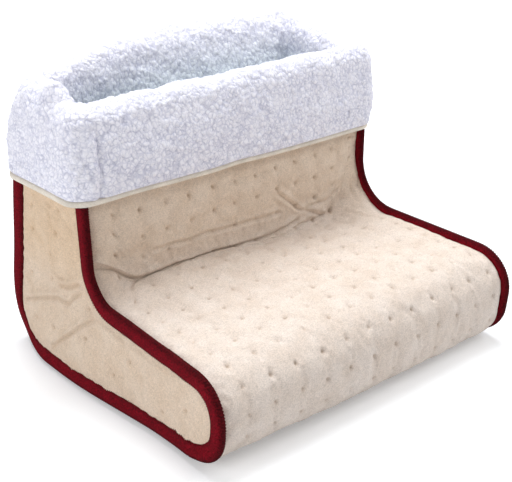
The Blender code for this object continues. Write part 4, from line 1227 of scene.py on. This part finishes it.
def fold(step):
    """The fold as (out, height above the hem as a share of the rim's, height) for both skins."""
    radius = (cuff_out + wall) / 2
    shoulder, middle = rim_z - radius, (cuff_out - wall) / 2
    low, roof = hem_z + 5 * MM, wall_top + 0.3 * MM
    face, back = [], []
    rows = round((shoulder - low) / step)
    for k in range(rows):
        face.append((cuff_out, low + (shoulder - low) * k / rows))
        back.append((0.8 * MM, low + (roof - low) * k / rows))
    rows = round(math.pi * radius / step)
    for k in range(rows + 1):
        a = math.pi * k / rows
        across, up = math.cos(a), math.sin(a)
        across, up = math.copysign(abs(across) ** fold_power, across), abs(up) ** fold_power
        face.append((middle + radius * across, shoulder + radius * up))
        back.append((0.8 * MM - (lining_depth + 0.8 * MM) * k / rows, roof))
    rows = round((shoulder - seam_z) / step)
    for k in range(1, rows + 1):
        face.append((-wall, shoulder + (seam_z + 0.3 * MM - shoulder) * k / rows))
        back.append((-lining_depth, roof + (seam_z + 0.3 * MM - roof) * k / rows))
    return face, back


cuff_step = 1.0 * MM
ring, cuts = plan(cuff_out, cuff_step)
print("the cuff has", len(ring), "columns and", len(fold(cuff_step)[0]), "rows")

# %% The cuff's soft shape


def settle(points):
    """Moves points of the straight shaft to where the cuff has settled."""
    points = np.array(points, dtype=float)
    along = np.clip((points[..., 1] - shaft_front) / (shaft_back - shaft_front), 0, 1)
    share = points[..., 0] / half_width
    points = leaned(points)
    points[..., 1] += shift_right * (share + 1) / 2 * (1 - along)
    return points


def hem_wave(ring):
    """How far the hem hangs up or down, all the way round."""
    return 1.2 * MM * lumps(np.column_stack([ring, ring[:, 0] * 0]), 70 * MM, 21)


wave = hem_wave(ring)
face_rows, back_rows = fold(cuff_step)
face_grid = np.array([[(x, y, z) for x, y in plan(out, cuff_step)[0]] for out, z in face_rows])
back_grid = np.array([[(x, y, z) for x, y in plan(out, cuff_step)[0]] for out, z in back_rows])
hang = 1 - smooth_step(face_grid[..., 2], hem_z, rim_z - 20 * MM)
hang[np.argmax(face_grid[:, 0, 2]) :] = 0
face_grid[..., 2] += wave * hang
back_grid[..., 2] += wave * hang


def ring_normals(grid):
    """Outward normals of a grid that closes on itself across its columns."""
    wide = np.concatenate([grid[:, -2:], grid, grid[:, :2]], axis=1)
    return -grid_normals(wide)[:, 2:-2]


outer_side = smooth_step(np.array([out for out, _ in face_rows]), -5 * MM, cuff_out)[:, None]
puff = 2.0 * MM * np.sin(np.pi * smooth_step(face_grid[..., 2], hem_z - 20 * MM, rim_z + 10 * MM))
lean_in = -3.0 * MM * smooth_step(face_grid[..., 2], hem_z + 20 * MM, rim_z)
soft = (puff + lean_in) * outer_side
soft -= 2.5 * MM * outer_side * smooth_step(-face_grid[..., 0], half_width - 10 * MM, half_width)
seam_x, seam_width = -137 * MM, 3 * MM
at_seam = np.exp(-((np.abs(face_grid[..., 0] - seam_x) / seam_width) ** 2))
at_seam *= face_grid[..., 1] < shaft_front
soft -= 3.0 * MM * at_seam * (1 - smooth_step(face_grid[..., 2], rim_z - 26 * MM, rim_z - 8 * MM))
inner_side = smooth_step(-np.array([out for out, _ in face_rows]), 5 * MM, wall)[:, None]
soft -= 5.0 * MM * inner_side * near(face_grid, half_width - wall, shaft_back - wall, 6 * MM)
soft += 1.6 * MM * lumps(face_grid, 34 * MM, 22) * smooth_step(np.arange(len(face_grid)), 2, 12)[:, None]
face_grid = settle(face_grid + ring_normals(face_grid) * soft[..., None])
back_grid = settle(back_grid)
print("cuff box", face_grid.min(axis=(0, 1)).round(4), face_grid.max(axis=(0, 1)).round(4))

# %% [markdown]
# The curls are cells of a Voronoi pattern: each cell is a small mound, and the line between two cells is
# a gap. The pattern is bent by noise first, so that no two curls are alike.

# %% Curls


def curls(points, size, seed):
    """The height of woolly curls from 0 to 1, and how far each point is from a gap, from 0 to 1."""
    shift = Vector((seed * 3.1, seed * 5.3, seed * 2.7))
    heights, gaps = [], []
    for point in (np.asarray(points).reshape(-1, 3) / size).tolist():
        place = Vector(point) + shift
        place += noise.noise_vector(place * 0.8) * 0.4
        nearest, next_near = noise.voronoi(place)[0][:2]
        gap = min(1.0, (next_near - nearest) / 0.35)
        gaps.append(gap)
        heights.append(0.6 * math.sqrt(max(0.0, 1 - (nearest / 0.85) ** 2)) + 0.4 * gap)
    shape = np.asarray(points).shape[:-1]
    return np.array(heights).reshape(shape), np.array(gaps).reshape(shape)


def piled(name, face, back, faces, finish, normals, height, size, seed, mask=1.0):
    """A solid whose face is lifted by curls."""
    curl, gap = curls(face, size, seed)
    clumps = lumps(face, 14 * MM, seed + 1)
    lift = height * curl * (0.85 + 0.3 * clumps) + 0.4 * height * clumps
    piece = two_skins(name, face + normals * (lift * mask)[..., None], back, faces, finish)
    # `curl` keeps each point's distance from a gap, which the finish turns into painted shade
    keep_value(piece, "curl", gap.ravel()[np.unique(faces)])
    return piece


print("curls", curls([[0, 0, 0], [0.01, 0, 0], [0.02, 0, 0]], 4.5 * MM, 1)[0].round(2))

# %% Cuff panels
cuff_curl, curl_size = 1.8 * MM, 5.0 * MM
normals = ring_normals(face_grid)
cuff_rows, total = face_grid.shape[:2]
row = np.arange(cuff_rows)[:, None] * np.ones(total)
cuff_mask = smooth_step(row, 0, 2) * (1 - smooth_step(row, cuff_rows - 3, cuff_rows - 1))
top_row = np.argmax(face_grid[:, 0, 2])
depth_inside = smooth_step(row, top_row + 10, top_row + 45)


def cuff_panel(name, start, end, node):
    """The part of the ring between two cuts."""
    picked = np.arange(start, end + 1) % total
    face, back, out, mask = (grid[:, picked] for grid in (face_grid, back_grid, normals, cuff_mask))
    faces = grid_faces(*face.shape[:2])[:, ::-1]
    piece = piled(name, face, back, faces, pile, out, cuff_curl, curl_size, 31, mask)
    # `inside` carries the painted shade deep inside the cuff
    keep_value(piece, "inside", depth_inside[:, picked].ravel()[np.unique(faces)])
    fitted(piece, "root", "pile", node)


cuff_panel("front_cuff_pile", cuts[0], cuts[1], "front_cuff")
cuff_panel("right_cuff_pile", cuts[1], cuts[2], "right_cuff")
cuff_panel("back_cuff_pile", cuts[2], cuts[3], "back_cuff")
cuff_panel("left_cuff_pile", cuts[3], cuts[0] + total, "left_cuff")


# %% [markdown]
# ## The hem tape
#
# A narrow cream tape is folded round the cuff's lower edge. It is a closed ring with a rounded section,
# and it follows the same plan and the same waves as the cuff above it.

# %% Hem tape
tape_ring, _ = plan(cuff_out, cuff_step)
inner_ring, _ = plan(0.8 * MM, cuff_step)
middle_ring = (tape_ring + inner_ring) / 2
outward = (tape_ring - inner_ring) / np.linalg.norm(tape_ring - inner_ring, axis=1)[:, None]
angles = np.arange(16) * 2 * math.pi / 16
across = 4.4 * MM * np.sign(np.cos(angles)) * np.abs(np.cos(angles)) ** 0.6
upward = 2.4 * MM * np.sign(np.sin(angles)) * np.abs(np.sin(angles)) ** 0.6
ribs = 1 + 0.03 * np.sin(np.arange(len(middle_ring)) * 1.9)
loops = np.empty((len(middle_ring), 16, 3))
loops[..., :2] = middle_ring[:, None] + outward[:, None] * (across[None, :] * ribs[:, None])[..., None]
loops[..., 2] = hem_z + 2.45 * MM + upward[None, :] * ribs[:, None] + wave[:, None]
hem_tape = loft("hem_tape", settle(loops)[:, ::-1], hem_cloth, closed=True)
fitted(hem_tape, "root", "hem", "cuff_hem_tape")


# %% [markdown]
# ## The lining
#
# The same curly pile lines the inside, down to the footbed, painted a cooler, darker tone as painted shade.
# Only its face shows, so the curls are there.
# They fade out where one lining meets the next, so that no piece grows into its neighbour.

# %% Wall linings
lining_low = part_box("upper_lining")[0].z
lining_curl = 1.6 * MM


def trimmed(line, height):
    """A line of (y, z) cut off where it first falls below a height."""
    below = np.nonzero(line[:, 1] < height)[0]
    if not len(below):
        return line
    k = below[0]
    share = (height - line[k, 1]) / (line[k - 1, 1] - line[k, 1])
    return np.vstack([line[:k], line[k] + (line[k - 1] - line[k]) * share])


def lining_grid(depth, start, end, rows, columns):
    """A wall of the lining, from its seam down to the footbed, at a depth."""
    sides = []
    for side in (-1, 0, 1):
        line = between(side, depth, start, end, 2 * MM)
        line = line if start == FRONT_SEAM else line[::-1]
        sides.append(resampled(trimmed(line, lining_low), rows)[0])
    return spread(sides, half_lining, columns)


def wall_lining(name, start, end, rows, node, seed):
    columns = round(2 * half_lining / (1.8 * MM))
    face = lining_grid(wall, start, end, rows, columns)
    back = lining_grid(lining_depth, start, end, rows, columns)
    into = grid_normals(face) * (-1 if start == FRONT_SEAM else 1)
    faces = grid_faces(*face.shape[:2])
    if start == FRONT_SEAM:
        faces = faces[:, ::-1]
    mask = smooth_step(half_lining - np.abs(face[..., 0]), 0, 5 * MM)
    mask *= smooth_step(np.arange(rows), 0, 3)[:, None]
    mask *= smooth_step(face[..., 2], lining_low, lining_low + 5 * MM)
    piece = piled(name, face, back, faces, shaded_inner_pile, into, lining_curl, curl_size, seed, mask)
    fitted(piece, "root", "pile", node)


wall_lining("upper_lining_pile", FRONT_SEAM, SOLE_FRONT, 150, "upper_lining", 41)
wall_lining("back_lining_pile", SOLE_BACK, BACK_SEAM, 90, "back_lining", 43)

# %% Side linings and footbed


def side_lining(name, side, node, seed):
    line = between(side, lining_depth, FRONT_SEAM, BACK_SEAM, 3 * MM)
    front = trimmed(line, lining_low)
    rear = trimmed(line[::-1], lining_low)[::-1]
    count = round((rear[0, 0] - front[-1, 0]) / (3 * MM))
    line = np.vstack([front, steps_between(front[-1], rear[0], count), rear])
    count = round((line[-1, 0] - line[0, 0]) / (3 * MM))
    outline = np.vstack([line, steps_between(line[-1], line[0], count)])
    flat, faces, edge = filled(outline, 2.0 * MM)
    face = leaned(at_x(side * (half_padding - 9 * MM), flat))
    back = leaned(at_x(side * half_padding, flat))
    turned = facing(faces, side < 0)
    into = np.tile((-side, 0, 0), (len(flat), 1))
    mask = smooth_step(edge, 9.5 * MM, 13 * MM)
    piece = piled(name, face, back, turned, shaded_inner_pile, into, lining_curl, curl_size, seed, mask)
    fitted(piece, "root", "pile", node)


side_lining("left_lining_pile", -1, "left_lining", 45)
side_lining("right_lining_pile", 1, "right_lining", 47)
bed_low, bed_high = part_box("sole_lining")


def flat_grid(low, high, step, z):
    """A level grid of points, with its rows from front to back."""
    columns, rows = round((high[0] - low[0]) / step), round((high[1] - low[1]) / step)
    x, y = np.meshgrid(np.linspace(low[0], high[0], columns), np.linspace(low[1], high[1], rows))
    return np.stack([x, y, np.full_like(x, z)], axis=2)


face = flat_grid(bed_low, bed_high, 2.0 * MM, bed_high.z)
edge = np.minimum(face[..., 1] - bed_low.y, bed_high.y - face[..., 1])
mask = smooth_step(np.minimum(bed_high.x - np.abs(face[..., 0]), edge), 13 * MM, 18 * MM)
up = np.zeros_like(face) + (0, 0, 1)
bed_faces = grid_faces(*face.shape[:2])[:, ::-1]
bed_back = face * (1, 1, 0) + (0, 0, bed_low.z)
footbed = piled("footbed_pile", face, bed_back, bed_faces, shaded_inner_pile, up, lining_curl, curl_size, 49, mask)
fitted(footbed, "root", "pile", "sole_lining")


# %% [markdown]
# ## Wadding
#
# Between each cover and its lining lies a sheet of wadding. None of it shows, but it fills the wall, so
# each sheet is made to the same outline at its own depth, with the hollows that hold the inlet and leads.

# %% Wadding
padding_end = padding_depth + padding


def soft_strip(start, end, depth, seed):
    """A strip of wadding at a depth, slightly uneven."""
    columns = round(2 * half_padding / (4 * MM))
    grid = strip(depth, start, end, 4 * MM, half_padding, columns)
    return grid + grid_normals(grid) * (0.1 * MM * lumps(grid, 12 * MM, seed))[..., None]


def fill_wall(name, start, end, node, keep=None):
    face = soft_strip(start, end, padding_depth, 51)
    back = soft_strip(start, end, padding_end, 52)
    mask = None if keep is None else keep(face)
    piece = two_skins(name, face, back, grid_faces(*face.shape[:2], keep=mask), wadding)
    fitted(piece, "root", "padding", node)


def round_leads(grid):
    """Leaves out the plate's recess, and the channel below it that the leads climb."""
    plate = face_middles(from_inlet(grid, 23 * MM, 13.5 * MM)) > 0
    aside = face_middles(np.abs(grid[..., 0] - inlet_x)) > 10 * MM
    return plate & (aside | (face_middles(grid[..., 2]) > inlet_z) | (face_middles(grid[..., 2]) < 11 * MM))


fill_wall("upper_wadding", FRONT_TOP, SOLE_FRONT, "upper_padding")
fill_wall("back_wadding", SOLE_BACK, BACK_TOP, "back_padding", round_leads)


def side_padding(name, side, node):
    outline = closed_outline(side, padding_depth, 4 * MM, sole_z, FRONT_TOP, BACK_TOP)
    flat, faces, _ = filled(outline, 5 * MM)
    skins = []
    for k, x in enumerate((half_cover, half_cover - padding)):
        skin = leaned(at_x(side * x, flat))
        skin[:, 0] += 0.1 * MM * lumps(skin, 12 * MM, 53 + k)
        skins.append(skin)
    piece = two_skins(name, *skins, facing(faces, side > 0), wadding)
    fitted(piece, "root", "padding", node)


side_padding("left_wadding", -1, "left_padding")
side_padding("right_wadding", 1, "right_padding")

# %% [markdown]
# ## The sole
#
# Underneath is a nearly flat panel of grip fabric. Its moulded dots are small domes, and they are made by
# pushing points of a fine grid down.

# %% Sole panel and the wadding above it
sole_low, sole_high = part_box("sole_cover")


def sole_lift(grid):
    """How far the sole is raised at its front, where the toe has curled up."""
    front = 1 - np.clip((grid[..., 1] - sole_low.y) / (sole_high.y - sole_low.y), 0, 1)
    share = (grid[..., 0] / half_width + 1) / 2
    lift = settled[-1]["lift"] * (1 - share) + settled[1]["lift"] * share
    return lift * MM * sole_share * front


face = flat_grid(sole_low, sole_high, 1.5 * MM, sole_z)
face[..., 2] += sole_lift(face)
pitch = 14 * MM
away = np.hypot(*[(face[..., k] / pitch - np.round(face[..., k] / pitch)) * pitch for k in (0, 1)])
dot_height, dot_radius = 1.0 * MM, 2.4 * MM
dome = dot_height * np.sqrt(np.clip(1 - (away / dot_radius) ** 2, 0, 1))
edge = np.minimum(sole_high.x - np.abs(face[..., 0]), sole_high.y - np.abs(face[..., 1]))
dotted = face - (dome * smooth_step(edge, 3 * MM, 4 * MM))[..., None] * (0, 0, 1)
top = face + (0, 0, 2.3 * MM)
sole_panel = two_skins("sole_panel", splayed(dotted), splayed(top), grid_faces(*face.shape[:2]), sole_cloth)
fitted(sole_panel, "root", "grip", "sole_cover")

# %% Sole wadding with the cut-out's pocket
pad_low, pad_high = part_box("sole_padding")
pocket_low, pocket_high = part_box("fixed_terminal")[0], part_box("blade_terminal")[1]
pocket_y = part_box("cutout_base")
pocket_middle = ((pocket_low.x - 12 * MM + pocket_high.x) / 2, (pocket_y[0].y + pocket_y[1].y) / 2)
pocket_half = ((pocket_high.x - pocket_low.x + 12 * MM) / 2, (pocket_y[1].y - pocket_y[0].y) / 2)


def from_pocket(grid):
    """How far each point lies outside the cut-out's pocket, in plan."""
    x, y = (np.abs(grid[..., k] - pocket_middle[k]) - pocket_half[k] for k in (0, 1))
    return np.maximum(x, y)


low_face = flat_grid(pad_low, pad_high, 2.5 * MM, pad_low.z)
low_face[..., 2] += sole_lift(low_face) * 0.95
high_face = flat_grid(pad_low, pad_high, 2.5 * MM, pad_high.z)
high_face[..., 2] -= 2.5 * MM * (1 - smooth_step(from_pocket(high_face), 1.5 * MM, 2.5 * MM))
pad_faces = grid_faces(*low_face.shape[:2])
sole_padding = two_skins("sole_wadding", splayed(low_face), splayed(high_face), pad_faces, wadding)
fitted(sole_padding, "root", "padding", "sole_padding")

# %% [markdown]
# ## The heater
#
# Two sheets of felt hold the heating wire. The lower one has a slot for the cut-out. Felt is thin and
# limp, so each sheet is a fine grid that waves by a few hundredths of a millimetre.

# %% Felt sheets


def felt_sheet(name, node, slot_for_cutout):
    low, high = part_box(node)
    under = flat_grid(low, high, 2.5 * MM, low.z + 0.05 * MM)
    under[..., 2] += 0.04 * MM * lumps(under, 9 * MM, 61)
    over = under + (0, 0, high.z - low.z - 0.1 * MM)
    keep = face_middles(from_pocket(under)) > 3 * MM if slot_for_cutout else None
    piece = two_skins(name, under, over, grid_faces(*under.shape[:2], keep=keep), felt)
    fitted(piece, "root", "felt", node)


felt_sheet("lower_felt_sheet", "lower_felt", True)
felt_sheet("upper_felt_sheet", "upper_felt", False)

# %% [markdown]
# ## The hard pieces
#
# The wire, the cut-out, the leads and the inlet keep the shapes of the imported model. Each only gets its
# own finish.

# %% Finishes of the kept pieces
kept_finishes = {
    "heating_wire": wire_sleeve,
    "cutout_splice": contact_silver,
    "feed_splice": contact_silver,
    "feed_lead": lead_sleeve,
    "cutout_lead": lead_sleeve,
    "cutout_base": case_plastic,
    "cutout_lid": case_plastic,
    "fixed_terminal": brass,
    "blade_terminal": brass,
    "fixed_contact": contact_silver,
    "blade_contact": contact_silver,
    "bimetal_blade": bimetal,
    "inlet_housing": inlet_plastic,
    "inlet_pin_left": brass,
    "inlet_pin_right": brass,
    "inlet_backing_plate": steel,
    "inlet_rivet_left": steel,
    "inlet_rivet_right": steel,
}
for node, finish in kept_finishes.items():
    for slot in bpy.data.objects[node].material_slots:
        slot.material = finish
print(len(kept_finishes), "kept pieces have a finish")
